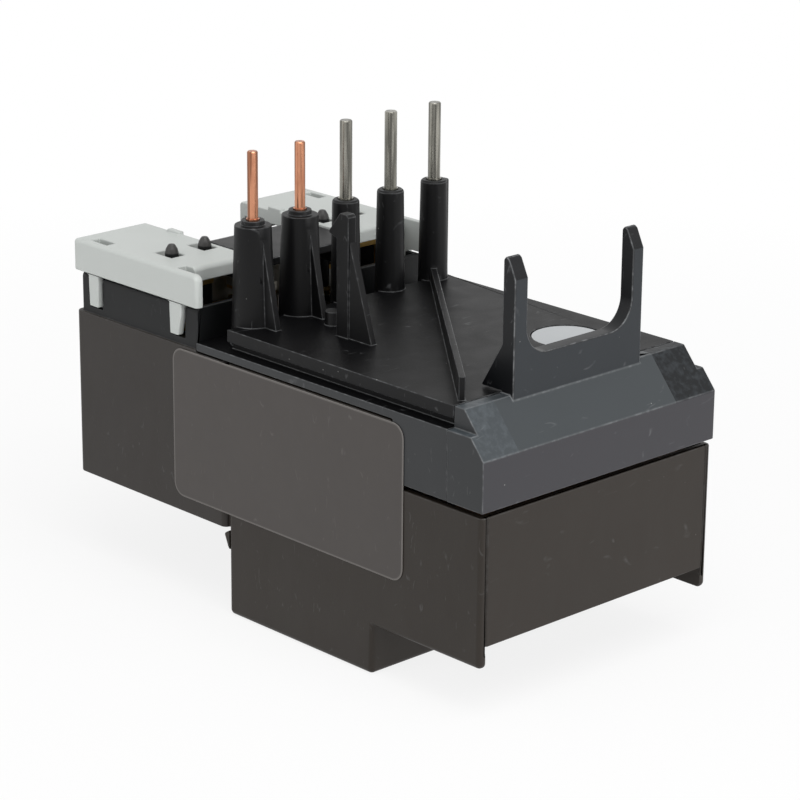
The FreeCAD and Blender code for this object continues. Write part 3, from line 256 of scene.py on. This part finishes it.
def moulded(name, colour, roughness, grain=0.010, dust=0.5, contrast=0.14, edge_wear_and_highlight=0.10, gloss=0.5,
            printed=None):
    """Injection-moulded plastic with spark-eroded grain, and a pale printed mark where one is given."""
    finish = Finish(name)
    clouds = finish.noise(0.055, 3.0)
    body = finish.blend(clouds, scaled(colour, 1.0 - contrast), scaled(colour, 1.0 + contrast))
    body, rough, height = moulded_layers(finish, body, dust, edge_wear_and_highlight)
    if printed:
        body = finish.blend(printed(finish), body, shade(214, 216, 214))
    return finish.surface(Base_Color=body, Roughness=(roughness + rough).held(),
                          Normal=finish.bump(height, grain), Specular_IOR_Level=gloss)


def scuffed_cover(name, slope, band, gloss, rubbed=None, share=0.0):
    """The rear cover's plastic: cooler and lighter on the slope, warmer on the band, a painted highlight and a
    painted reflection, and mottled where it was rubbed.
    """
    finish = Finish(name)
    # Painted light: above the band the slope gets a lighter bluish highlight tone, below it the band a
    # purple-tinted reflection tone.
    high = ((finish.axis(2) - BAND_TOP) * 6.0).held()
    body = finish.blend(high, band, slope)
    body = finish.blend((finish.noise(0.07, 3.0) * 0.35).held(), body, scaled(slope, 0.72))
    body, rough, height = moulded_layers(finish, body, 0.9, 0.34)
    if rubbed:
        mottle = ((finish.noise(1.1, 6.0, distortion=0.3) - 0.44) * 4.0).held()
        body = finish.blend((mottle * share).held(), body, rubbed)
        rough = rough + 0.10 - mottle * 0.06
        height = height + mottle * 0.9
    return finish.surface(Base_Color=body, Roughness=(0.40 + rough).held(),
                          Normal=finish.bump(height, 0.009), Specular_IOR_Level=gloss)


def drawn_wire(name, colour, tarnish, roughness, stain=0.5):
    """Drawn wire: dark and light lines along its length, the broad ones also a painted reflection with light and
    dark streaks, tarnish in clouds and small nicks.
    """
    finish = Finish(name)
    bands_and_sheen = finish.noise(1.9, 1.0, stretch=(1.0, 1.0, 0.04))
    lines = finish.noise(6.0, 2.0, stretch=(1.0, 1.0, 0.05))
    clouds = finish.noise(0.5, 3.0, stretch=(1.0, 1.0, 0.6), distortion=0.8)
    nicks = finish.specks(1.4, 0.10, 0.25)
    spots = ((clouds - 0.45) * 3.0).held()
    # Painted reflection: broad light and dark streaks along the wire, on top of its drawing marks.
    body = finish.blend(((bands_and_sheen - 0.42) * 6.5).held(), scaled(colour, 0.44), scaled(colour, 1.22))
    body = finish.blend((spots * stain).held(), body, tarnish)
    body = finish.blend((lines * 0.4).held(), body, scaled(colour, 0.55))
    body = finish.blend((nicks * 0.5).held(), body, scaled(tarnish, 0.7))
    rough = roughness + (lines - 0.5) * 0.25 + spots * 0.12
    height = bands_and_sheen * 0.8 + lines * 0.5 + clouds * 0.3 - nicks * 0.6
    return finish.surface(Base_Color=body, Roughness=rough.held(), Metallic=1.0,
                          Normal=finish.bump(height, 0.014))


def sheet_metal(name, colour, roughness, stretch=(1.0, 0.08, 1.0), tarnish=None):
    """Rolled or plated metal with faint lines, stains and rubbed edges."""
    finish = Finish(name)
    lines = finish.noise(3.5, 2.0, stretch=stretch)
    clouds = finish.noise(0.35, 3.0)
    pits = finish.specks(1.1, 0.08, 0.2)
    worn = finish.worn_edge()
    body = finish.blend(clouds, scaled(colour, 0.86), scaled(colour, 1.1))
    body = finish.blend((((clouds - 0.5) * 2.4).held() * 0.6).held(), body, tarnish or scaled(colour, 0.6))
    body = finish.blend((worn * 0.4).held(), body, scaled(colour, 1.35))
    rough = roughness + (lines - 0.5) * 0.2 + clouds * 0.08
    height = lines * 0.6 + clouds * 0.2 - pits * 0.5
    return finish.surface(Base_Color=body, Roughness=rough.held(), Metallic=1.0,
                          Normal=finish.bump(height, 0.010))


def heated_ribbon(name):
    """Resistance ribbon with the straw and blue colours that heat leaves."""
    finish = Finish(name)
    clouds = finish.noise(0.5, 2.0)
    lines = finish.noise(5.0, 1.0, stretch=(1.0, 1.0, 0.1))
    colour = finish.node("ShaderNodeValToRGB", {"stops": [
        (0.30, shade(150, 146, 140)), (0.48, shade(158, 132, 92)),
        (0.60, shade(112, 92, 104)), (0.75, shade(92, 104, 128))]}, {"Fac": clouds})
    return finish.surface(Base_Color=colour, Roughness=(0.34 + lines * 0.2).held(), Metallic=1.0,
                          Normal=finish.bump(lines, 0.008))


def rim(finish, node, corner, width):
    """1 along the border of a thin upright plate with round corners, 0 inside it."""
    low, high = (Vector(side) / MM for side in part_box(node))
    middle = (low + high) / 2
    half = (high - low) / 2
    never = 1000.0
    offset = finish.vector("ABSOLUTE", finish.vector("SUBTRACT", finish.millimetres(), tuple(middle)))
    beyond = finish.vector("SUBTRACT", offset, (never, half.y - corner, half.z - corner))
    reach = finish.vector("LENGTH", finish.vector("MAXIMUM", beyond, (0.0, 0.0, 0.0)), output=1)
    return ((reach - (corner - width)) * 9.0).held()


def printed_film(name, colour, roughness, edge_colour, border=None):
    """Smooth plastic film with a slightly paler cut edge and border, partly rubbed and partly a painted edge
    highlight, faint ripples and rubbed marks.
    """
    finish = Finish(name)
    clouds = finish.noise(0.10, 2.0)
    ripples = finish.noise(0.45, 2.0)
    fine = finish.noise(7.0, 2.0)
    scuffs = finish.hairs((0.0, 0.9, 0.2))
    dots = finish.specks(0.5, 0.04, 0.25)
    worn = finish.worn_edge()
    body = finish.blend(clouds, scaled(colour, 0.93), scaled(colour, 1.07))
    body = finish.blend((fine * 0.2).held(), body, scaled(colour, 0.8))
    # Painted highlight along the cut edge and border, mixed with rubbing on the edge.
    edge = worn * 0.7 + rim(finish, *border) * 0.30 if border else worn * 0.7
    body = finish.blend(edge.held(), body, edge_colour)
    body = finish.blend((scuffs * 0.10 + dots * 0.35).held(), body, shade(182, 180, 176))
    rough = roughness + (ripples - 0.5) * 0.12 + fine * 0.06 + scuffs * 0.15
    height = ripples * 0.8 + fine * 0.2 - scuffs * 0.3
    return finish.surface(Base_Color=body, Roughness=rough.held(), Normal=finish.bump(height, 0.012),
                          Specular_IOR_Level=0.45)


FINISH = {
    "base_housing": moulded("brown black thermoset", shade(37, 31, 25), 0.50, 0.012, gloss=0.34),
    "front_housing": moulded("brown black thermoset front", shade(36, 31, 27), 0.48, 0.012, gloss=0.36),
    "front_bezel": moulded("black bezel plastic", shade(22, 22, 23), 0.42, 0.008, dust=0.4, gloss=0.26,
                           printed=dial_pointer),
    "top_lid": moulded("black lid plastic", shade(13, 13, 14), 0.44, 0.008, dust=0.9, edge_wear_and_highlight=0.28,
                       gloss=0.18),
    # Painted shade: a darker copy of the lid plastic for the up-facing faces of the lid plate and the bezel.
    "shaded_top": moulded("black lid plastic painted darker on top", shade(6, 6, 7), 0.42, 0.008, dust=1.0, edge_wear_and_highlight=0.45,
                         gloss=0.12),
    # Painted light: a lighter copy of the lid plastic for the side walls of the lid and the side-facing ends of
    # the rear cover.
    "lit_side": moulded("black lid plastic painted lighter on the sides", shade(37, 39, 41), 0.43, 0.008, dust=0.8, edge_wear_and_highlight=0.40,
                        gloss=0.38),
    # Painted shade: the walls of the front housing above its shoulder and between its sides are darkened.
    "shaded_chamber": moulded("black chamber plastic", shade(17, 18, 19), 0.44, 0.008, dust=0.4, gloss=0.22),
    # Painted light: the pegs that stand above the covers are lighter than the rest of the housing plastic.
    "lit_peg": moulded("black peg plastic", shade(44, 43, 42), 0.40, 0.008, dust=0.2, gloss=0.46),
    # Painted shade: darker copies of the cover plastic on the fork, and darker still on its faces towards +X and
    # upwards.
    "fork_in_shade": moulded("blue black fork plastic", shade(37, 41, 45), 0.40, 0.009, dust=0.9, edge_wear_and_highlight=0.40,
                    gloss=0.30),
    "fork_faces_in_shade": moulded("fork throat plastic", shade(20, 21, 23), 0.40, 0.009, dust=0.9, edge_wear_and_highlight=0.55,
                          gloss=0.20),
    # Painted light: the slope colours are lighter bluish highlight tones, the band colour a purple-tinted
    # reflection tone.
    "rear_cover": scuffed_cover("blue black cover plastic", shade(51, 56, 59), shade(48, 46, 51), 0.42),
    "rubbed_end": scuffed_cover("rubbed cover plastic", shade(52, 58, 62), shade(48, 46, 51), 0.46,
                                shade(104, 112, 118), 0.20),
    "worn_end": scuffed_cover("worn cover plastic", shade(22, 24, 26), shade(48, 46, 51), 0.20,
                              shade(58, 62, 66), 0.50),
    "cover_grey": moulded("light grey cover plastic", shade(196, 200, 197), 0.50, 0.008, dust=0.0,
                          contrast=0.03, edge_wear_and_highlight=0.0, gloss=0.3),
    "label": printed_film("dark label film", shade(61, 56, 53), 0.42, shade(142, 138, 134),
                          ("rating_label", 2.0, 0.30)),
    "sticker": printed_film("pale sticker paper", shade(186, 189, 191), 0.55, shade(206, 208, 210)),
    "copper": drawn_wire("bare copper wire", shade(196, 138, 108), shade(158, 96, 72), 0.30),
    "tinned": drawn_wire("tinned copper wire", shade(148, 146, 138), shade(88, 87, 82), 0.25, 0.35),
    "copper_bar": sheet_metal("rolled copper bar", shade(190, 124, 92), 0.32, tarnish=shade(136, 84, 62)),
    "bimetal": sheet_metal("bimetal strip", shade(160, 155, 146), 0.34),
    "heater": heated_ribbon("heater ribbon"),
    "zinc_steel": sheet_metal("zinc plated steel", shade(172, 172, 168), 0.30, (1.0, 1.0, 0.2)),
    "contact_brass": sheet_metal("contact brass", shade(190, 156, 92), 0.30, tarnish=shade(140, 110, 62)),
    "carrier": moulded("carrier plastic", shade(112, 80, 54), 0.5, dust=0.0, edge_wear_and_highlight=0.1),
    "slide": moulded("slide plastic", shade(196, 186, 160), 0.42, dust=0.0, contrast=0.04, edge_wear_and_highlight=0.0),
    "lever": moulded("lever plastic", shade(172, 168, 158), 0.42, dust=0.0, contrast=0.04, edge_wear_and_highlight=0.0),
    "dial_grey": moulded("dial plastic", shade(168, 170, 168), 0.42, dust=0.1, contrast=0.04, edge_wear_and_highlight=0.0),
    "mark_black": moulded("dark marking ink", shade(26, 26, 27), 0.5, dust=0.0, contrast=0.05, edge_wear_and_highlight=0.0),
    "reset_blue": moulded("blue button plastic", shade(30, 68, 132), 0.36, dust=0.1, contrast=0.05, edge_wear_and_highlight=0.2),
    "stop_red": moulded("red button plastic", shade(156, 28, 24), 0.36, dust=0.1, contrast=0.05, edge_wear_and_highlight=0.2),
    "spring_steel": drawn_wire("spring steel wire", shade(140, 140, 140), shade(100, 98, 95), 0.3),
    "flag_orange": moulded("orange flag plastic", shade(208, 98, 30), 0.42, dust=0.0, contrast=0.05, edge_wear_and_highlight=0.0),
}


# ---- mesh toolkit --------------------------------------------------------------------------------

SHARP = math.radians(32)
FLAT = math.radians(0.8)
SAME_PLACE = 0.002 * MM
ON_PLANE = 0.001 * MM


def added(name, data):
    """A new object in the scene."""
    thing = bpy.data.objects.new(name, data)
    bpy.context.scene.collection.objects.link(thing)
    return thing


def finished(name, bm, slot, bevelled=frozenset(), others=()):
    """Turns mesh data into an object with its finishes, smooth shading and rounded-edge values, which the finishes
    paint as rubbed edges and painted edge highlights.

    Each of the others is a finish and a rule on a face's centre and normal. The first that fits counts.
    """
    data = bpy.data.meshes.new(name)
    inner = [float(bool(bevelled) and all(face in bevelled for face in vert.link_faces))
             for vert in bm.verts]
    bmesh.ops.recalc_face_normals(bm, faces=bm.faces)
    for face in bm.faces:
        centre = face.calc_center_median() / MM
        fitting = (number for number, (_, rule) in enumerate(others, start=1)
                   if rule(centre, face.normal))
        face.material_index = next(fitting, 0)
    bm.to_mesh(data)
    bm.free()
    worn = data.attributes.new("worn_edge", "FLOAT", "POINT")
    worn.data.foreach_set("value", inner)
    data.shade_smooth()
    thing = added(name, data)
    for each in (slot, *(other for other, _ in others)):
        data.materials.append(FINISH[each])
    level = thing.modifiers.new("even", "WEIGHTED_NORMAL")
    level.keep_sharp = True
    level.weight = 80
    return settled(thing)


def settled(thing):
    """Applies a piece's modifiers, so that it is plain mesh."""
    graph = bpy.context.evaluated_depsgraph_get()
    data = bpy.data.meshes.new_from_object(thing.evaluated_get(graph))
    thing.modifiers.clear()
    old = thing.data
    thing.data = data
    bpy.data.meshes.remove(old)
    data.name = thing.name
    return thing


def round_edges(bm, width, segments=2):
    """Rounds every hard edge; gives the new faces."""
    sharp = [edge for edge in bm.edges if len(edge.link_faces) == 2 and edge.calc_face_angle(0) > SHARP]
    if not sharp:
        return frozenset()
    made = bmesh.ops.bevel(bm, geom=sharp, offset=width * MM, offset_type="OFFSET", segments=segments,
                           profile=0.5, affect="EDGES", clamp_overlap=False, loop_slide=True)
    return frozenset(made["faces"])


def dressed(node, width, slot, others=(), cuts=()):
    """A copy of a CAD node with rounded edges, which stands for that node.

    The cuts are places along X where its faces are parted, so that a finish can end there.
    """
    bm = bmesh.new()
    bm.from_mesh(frame["nodes"][node].data)
    low = [min(vert.co[index] for vert in bm.verts) for index in range(3)]
    high = [max(vert.co[index] for vert in bm.verts) for index in range(3)]
    bmesh.ops.remove_doubles(bm, verts=bm.verts, dist=SAME_PLACE)
    bmesh.ops.dissolve_limit(bm, angle_limit=FLAT, verts=bm.verts, edges=bm.edges)
    for across in cuts:
        bmesh.ops.bisect_plane(bm, geom=[*bm.verts, *bm.edges, *bm.faces], plane_co=(across * MM, 0, 0),
                               plane_no=(1, 0, 0), dist=ON_PLANE)
    made = round_edges(bm, width)
    for vert in bm.verts:
        vert.co = [min(max(part, low[index]), high[index]) for index, part in enumerate(vert.co)]
    piece = finished("dressed_" + node, bm, slot, made, others)
    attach(piece, BODY[node])
    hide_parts(node)
    return piece


class Recipe:
    """A geometry tree whose sizes are named inputs."""

    def __init__(self, name):
        self.tree = bpy.data.node_groups.new(name, "GeometryNodeTree")
        self.tree.is_modifier = True
        for direction in ("INPUT", "OUTPUT"):
            self.tree.interface.new_socket("Geometry", in_out=direction, socket_type="NodeSocketGeometry")
        self.sizes = {}
        self.entry = self.tree.nodes.new("NodeGroupInput")

    def size(self, name, kind="NodeSocketFloat"):
        """A named input of the tree."""
        entry = self.tree.interface.new_socket(name, in_out="INPUT", socket_type=kind)
        self.sizes[name] = entry.identifier
        return self.entry.outputs[name]

    def node(self, kind, settings=None, inputs=None, output=0):
        """Adds a node: settings first, then the values or links of its sockets."""
        item = self.tree.nodes.new(kind)
        for key, value in (settings or {}).items():
            setattr(item, key, value)
        for key, value in (inputs or {}).items():
            if isinstance(value, bpy.types.NodeSocket):
                self.tree.links.new(value, item.inputs[key])
            else:
                item.inputs[key].default_value = value
        return item.outputs[output]

    def grow(self, name, shapes, body, slot, values, paint=None):
        """Ends the tree with real, finished mesh and gives it as one plain piece that rides on a body."""
        whole = self.node("GeometryNodeRealizeInstances", None, {"Geometry": shapes})
        painted = self.node("GeometryNodeSetMaterial", None,
                            {"Geometry": whole, "Material": FINISH[paint or slot]})
        end = self.tree.nodes.new("NodeGroupOutput")
        self.tree.links.new(painted, end.inputs["Geometry"])
        data = bpy.data.meshes.new(name)
        data.from_pydata([(0, 0, 0)], [], [])
        thing = added(name, data)
        builder = thing.modifiers.new("recipe", "NODES")
        builder.node_group = self.tree
        for key, value in values.items():
            builder[self.sizes[key]] = value
        settled(thing)
        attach(thing, body)
        return thing


# ---- pieces --------------------------------------------------------------------------------------

NODE_SLOT = {
    "base_housing": "base_housing", "front_housing": "front_housing", "front_bezel": "front_bezel",
    "top_lid": "top_lid", "rear_cover": "rear_cover", "terminal_cover_left": "cover_grey",
    "terminal_cover_right": "cover_grey", "rating_label": "label", "date_sticker": "sticker",
    "coil_link": "copper", "auxiliary_link": "copper", "control_clamps": "zinc_steel",
    "control_screws": "zinc_steel", "no_contacts": "contact_brass", "nc_contacts": "contact_brass",
    "link_plates": "contact_brass", "bimetal_carrier": "carrier", "drive_slide": "slide",
    "differential_slide": "slide", "trip_lever": "lever", "compensation_strip": "bimetal",
    "mechanism_frame": "lever", "current_dial": "dial_grey", "dial_cam": "lever",
    "adjusting_lever": "lever", "reset_button": "reset_blue", "stop_button": "stop_red",
    "reset_spring": "spring_steel", "stop_spring": "spring_steel", "snap_spring": "spring_steel",
    "trip_rocker": "lever", "nc_bridge": "contact_brass", "no_bridge": "contact_brass",
    "trip_flag": "flag_orange",
}
for side_name in ("left", "middle", "right"):
    NODE_SLOT["main_pin_" + side_name] = "tinned"
    NODE_SLOT["terminal_bar_" + side_name] = "copper_bar"
    NODE_SLOT["bimetal_strip_" + side_name] = "bimetal"
    NODE_SLOT["heater_winding_" + side_name] = "heater"
    NODE_SLOT["main_clamp_" + side_name] = "zinc_steel"
    NODE_SLOT["main_screw_" + side_name] = "zinc_steel"

for node, slot in NODE_SLOT.items():
    thing = frame["nodes"][node]
    thing.data.materials.clear()
    thing.data.materials.append(FINISH[slot])

# How wide the rounding of each dressed node is, in millimetres.
ROUNDED = {
    "base_housing": 0.22, "front_housing": 0.18, "front_bezel": 0.22, "top_lid": 0.14, "rear_cover": 0.20,
    "terminal_cover_left": 0.20, "terminal_cover_right": 0.20, "rating_label": 0.05, "date_sticker": 0.05,
    "current_dial": 0.20, "reset_button": 0.30, "stop_button": 0.30, "control_screws": 0.10,
    "main_screw_left": 0.15, "main_screw_middle": 0.15, "main_screw_right": 0.15,
}
# The finishes of some of a node's faces, told by the face's centre in millimetres and its normal. Most are painted
# light and shade on one moulding (darker tops, lighter side walls, darkened housing walls and fork, lighter pegs);
# the cover's rubbed and worn ends are real.
OTHER_FINISHES = {
    "top_lid": (
        ("shaded_top", lambda centre, normal: normal.z > 0.7 and centre.z < LID_PLATE_TOP),
        ("lit_side", lambda centre, normal: abs(normal.z) < 0.5 and centre.z < LID_WALL_TOP)),
    "front_bezel": (
        ("shaded_top", lambda centre, normal: normal.z > 0.3),),
    "rear_cover": (
        ("fork_faces_in_shade", lambda centre, normal: centre.z > FORK_FOOT and max(normal.x, normal.z) > 0.3),
        ("fork_in_shade", lambda centre, normal: centre.z > FORK_FOOT),
        ("lit_side", lambda centre, normal: abs(normal.x) > 0.6),
        ("rubbed_end", lambda centre, normal: centre.z > BAND_TOP and centre.x > WORN_RIGHT),
        ("worn_end", lambda centre, normal: centre.z > BAND_TOP and centre.x < WORN_LEFT)),
    "front_housing": (
        ("lit_peg", lambda centre, normal: centre.z > PEG_FOOT),
        ("shaded_chamber", lambda centre, normal: centre.z > CHAMBER_FLOOR and abs(centre.x) < CHAMBER_HALF)),
}
CUTS = {"rear_cover": (WORN_LEFT, WORN_RIGHT)}
for node, width in ROUNDED.items():
    dressed(node, width, NODE_SLOT[node], OTHER_FINISHES.get(node, ()), CUTS.get(node, ()))


# The dial's scale: its first mark lies under the pointer at rest, its last one at the dial's other limit.
SCALE_START = math.radians(90)
SCALE_SWEEP = math.radians(240)
SCALE_MARKS = 11
SCALE_RADIUS = 4.75 * MM
MARK_WIDTH, MARK_LENGTH = 0.16 * MM, 0.9 * MM
FIGURE_SIZE, FIGURE_RADIUS = 1.5 * MM, 3.35 * MM
INK_PROUD = 0.03 * MM
ONTO_FRONT = math.radians(90)


def dial_centre():
    """The middle of the dial's front face."""
    low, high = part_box("current_dial")
    return (low[0] + high[0]) / 2, low[1], (low[2] + high[2]) / 2


def dial_marks():
    """Even marks round the dial's face, made along an arc."""
    recipe = Recipe("dial_marks")
    arc = recipe.node("GeometryNodeCurveArc", {"mode": "RADIUS"}, {
        "Resolution": recipe.size("Count", "NodeSocketInt"), "Radius": recipe.size("Radius"),
        "Start Angle": recipe.size("Start"), "Sweep Angle": recipe.size("Sweep")})
    box = recipe.node("GeometryNodeMeshCube", None, {"Size": recipe.size("Mark", "NodeSocketVector")})
    outwards = recipe.node("GeometryNodeInputPosition")
    turn = recipe.node("FunctionNodeAlignRotationToVector", {"axis": "Y"}, {"Vector": outwards})
    marks = recipe.node("GeometryNodeInstanceOnPoints", None,
                        {"Points": arc, "Instance": box, "Rotation": turn})
    upright = recipe.node("GeometryNodeTransform", None, {
        "Geometry": marks, "Translation": recipe.size("Place", "NodeSocketVector"),
        "Rotation": (ONTO_FRONT, 0.0, 0.0)})
    recipe.grow("dial_marks", upright, BODY["current_dial"], "dial_grey", {
        "Count": SCALE_MARKS, "Radius": SCALE_RADIUS, "Start": SCALE_START, "Sweep": SCALE_SWEEP,
        "Mark": (MARK_WIDTH, MARK_LENGTH, 2 * INK_PROUD), "Place": dial_centre()}, paint="mark_black")


def dial_numbers():
    """Plain numbers beside every fifth mark, each upright when it stands under the pointer."""
    figures = "123"
    onto_face = Matrix.Translation(Vector(dial_centre())) @ Matrix.Rotation(ONTO_FRONT, 4, "X")
    bm = bmesh.new()
    for step, figure in enumerate(figures):
        curve = bpy.data.curves.new("figure", "FONT")
        curve.body = figure
        curve.size = FIGURE_SIZE
        curve.extrude = INK_PROUD
        curve.align_x = "CENTER"
        curve.align_y = "CENTER"
        letter = added("figure", curve)
        bpy.context.view_layer.update()
        graph = bpy.context.evaluated_depsgraph_get()
        flat = bpy.data.meshes.new_from_object(letter.evaluated_get(graph))
        bpy.data.objects.remove(letter)
        turned = Matrix.Rotation(SCALE_SWEEP * step / (len(figures) - 1), 4, "Z")
        outwards = Matrix.Translation((0, FIGURE_RADIUS, 0))
        flat.transform(onto_face @ turned @ outwards)
        bm.from_mesh(flat)
    piece = finished("dial_numbers", bm, "mark_black")
    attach(piece, BODY["current_dial"])


def coiled_spring(node, joint):
    """A round-wire compression spring, swept along a spiral."""
    low, high = (Vector(side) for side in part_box(node))
    middle = (low + high) / 2
    length = high.y - low.y
    wire = 0.28 * MM
    recipe = Recipe(node + "_coil")
    radius = recipe.size("Radius")
    spiral = recipe.node("GeometryNodeCurveSpiral", None, {
        "Resolution": recipe.size("Steps", "NodeSocketInt"), "Rotations": recipe.size("Turns"),
        "Start Radius": radius, "End Radius": radius, "Height": recipe.size("Length")})
    section = recipe.node("GeometryNodeCurvePrimitiveCircle", {"mode": "RADIUS"},
                          {"Resolution": 10, "Radius": recipe.size("Wire")})
    coil = recipe.node("GeometryNodeCurveToMesh", None,
                       {"Curve": spiral, "Profile Curve": section, "Fill Caps": True})
    smooth = recipe.node("GeometryNodeSetShadeSmooth", None, {"Geometry": coil})
    laid = recipe.node("GeometryNodeTransform", None, {
        "Geometry": smooth, "Translation": recipe.size("Place", "NodeSocketVector"),
        "Rotation": (-math.radians(90), 0.0, 0.0)})
    piece = recipe.grow(node + "_coil", laid, BODY[node], "spring_steel", {
        "Radius": (high.x - low.x) / 2 - wire, "Steps": 24, "Turns": 7.0, "Wire": wire,
        "Length": length - 2 * wire, "Place": (middle.x, low.y + wire, middle.z)})
    travel = next(each for each in frame["joints"] if each["name"] == joint)["range_m"][1]
    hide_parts(node)
    1 - travel / length
    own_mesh(piece)


def seam_tongues():
    """A tongue in each end of the seam between the two housings, which keeps the light out."""
    low, high = (Vector(side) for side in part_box("front_housing"))
    outside, inside = high.x - 0.7 * MM, high.x - 1.3 * MM
    front, back = high.y - 0.9 * MM, high.y + 1.2 * MM
    foot_level, height = low.z + 0.1 * MM, 23.6 * MM
    bm = bmesh.new()
    for side in (-1, 1):
        corners = [Vector((side * across, along, foot_level)) for across, along in
                   ((outside, front), (outside, back), (inside, back), (inside, front))]
        foot = bm.faces.new([bm.verts.new(corner) for corner in corners])
        raised = bmesh.ops.extrude_face_region(bm, geom=[foot], use_keep_orig=True)["geom"]
        top = [each for each in raised if isinstance(each, bmesh.types.BMVert)]
        bmesh.ops.translate(bm, verts=top, vec=(0, 0, height))
    made = round_edges(bm, 0.1)
    piece = finished("seam_tongues", bm, "base_housing", made)
    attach(piece, BODY["base_housing"])


seam_tongues()
dial_marks()
dial_numbers()
coiled_spring("reset_spring", "reset_press")
coiled_spring("stop_spring", "stop_press")


# ---- stage ---------------------------------------------------------------------------------------

ROOM_LIGHT = 0.42
WHITE = (1.0, 1.0, 1.0, 1.0)
FLOOR_GLOW = 0.84
GLOW_FROM = 85.0
GLOW_RISE = 0.007


def stage_floor():
    """A wide pale floor that fades into the pale surroundings."""
    bm = bmesh.new()
    bmesh.ops.create_grid(bm, x_segments=1, y_segments=1, size=6.0)
    data = bpy.data.meshes.new("floor")
    bm.to_mesh(data)
    bm.free()
    floor = added("floor", data)
    floor.location.z = -0.02 * MM
    finish = Finish("pale floor")
    seen = pale_rays(finish)
    reach = finish.vector("LENGTH", finish.millimetres(), output=1)
    away = ((reach - GLOW_FROM) * GLOW_RISE).held()
    share = seen * (FLOOR_GLOW + away * (1.0 - FLOOR_GLOW))
    paint = finish.node("ShaderNodeBsdfDiffuse", None, {"Color": (0.92, 0.92, 0.92, 1.0)})
    glow = finish.node("ShaderNodeEmission", None, {"Color": WHITE, "Strength": 1.0})
    mixed = finish.node("ShaderNodeMixShader", None, {0: share, 1: paint, 2: glow})
    finish.node("ShaderNodeOutputMaterial", None, {"Surface": mixed})
    data.materials.append(finish.material)


def pale_rays(finish):
    """1 on rays that come from the camera, a reflection or glass, and 0 on the others."""
    kinds = [finish.node("ShaderNodeLightPath", output=kind)
             for kind in ("Is Camera Ray", "Is Glossy Ray", "Is Transmission Ray")]
    return (kinds[0] + kinds[1] + kinds[2]).held()


def surroundings():
    """Even pale light from all round; seen as white."""
    world = bpy.data.worlds.new("pale room")
    bpy.context.scene.world = world
    room = Finish("pale room", world)
    seen = pale_rays(room)
    strength = ROOM_LIGHT + seen * (1.0 - ROOM_LIGHT)
    light = room.node("ShaderNodeBackground", None, {"Color": WHITE, "Strength": strength})
    room.node("ShaderNodeOutputWorld", None, {"Surface": light})


def softbox(name, place, width, height, watts):
    """A rectangular lamp in metres that faces the middle of the part."""
    lamp = bpy.data.lights.new(name, "AREA")
    lamp.shape = "RECTANGLE"
    lamp.size = width
    lamp.size_y = height
    lamp.energy = watts
    thing = added(name, lamp)
    direction = Vector((0.0, 0.0, 0.03)) - Vector(place)
    turn = direction.to_track_quat("-Z", "Y").to_matrix().to_4x4()
    thing.matrix_world = Matrix.Translation(Vector(place)) @ turn


def aim_camera():
    """Long lens above the rear right corner, looking down on the lid and the two near walls."""
    azimuth, elevation, roll = (math.radians(angle) for angle in (136.46, 18.272, 0.492))
    back = Vector((math.sin(azimuth) * math.cos(elevation), -math.cos(azimuth) * math.cos(elevation),
                   math.sin(elevation)))
    right = Vector((0, 0, 1)).cross(back).normalized()
    up = back.cross(right)
    level_right = right * math.cos(roll) + up * math.sin(roll)
    level_up = up * math.cos(roll) - right * math.sin(roll)
    lens = bpy.data.cameras.new("camera")
    lens.sensor_width = 36.0
    lens.lens = 135.52
    lens.clip_start = 0.01
    camera = added("camera", lens)
    turn = Matrix((level_right, level_up, back)).transposed().to_4x4()
    camera.matrix_world = Matrix.Translation(Vector((279.134, 300.126, 163.735)) * MM) @ turn
    bpy.context.scene.camera = camera


stage_floor()
surroundings()
softbox("overhead", (0.10, 0.25, 0.60), 0.5, 0.5, 2.3)
softbox("side", (0.55, -0.10, 0.30), 0.4, 0.5, 0.7)
softbox("rear", (-0.10, 0.70, 0.22), 0.5, 0.4, 2.0)
aim_camera()
bpy.context.scene.view_settings.view_transform = "Standard"
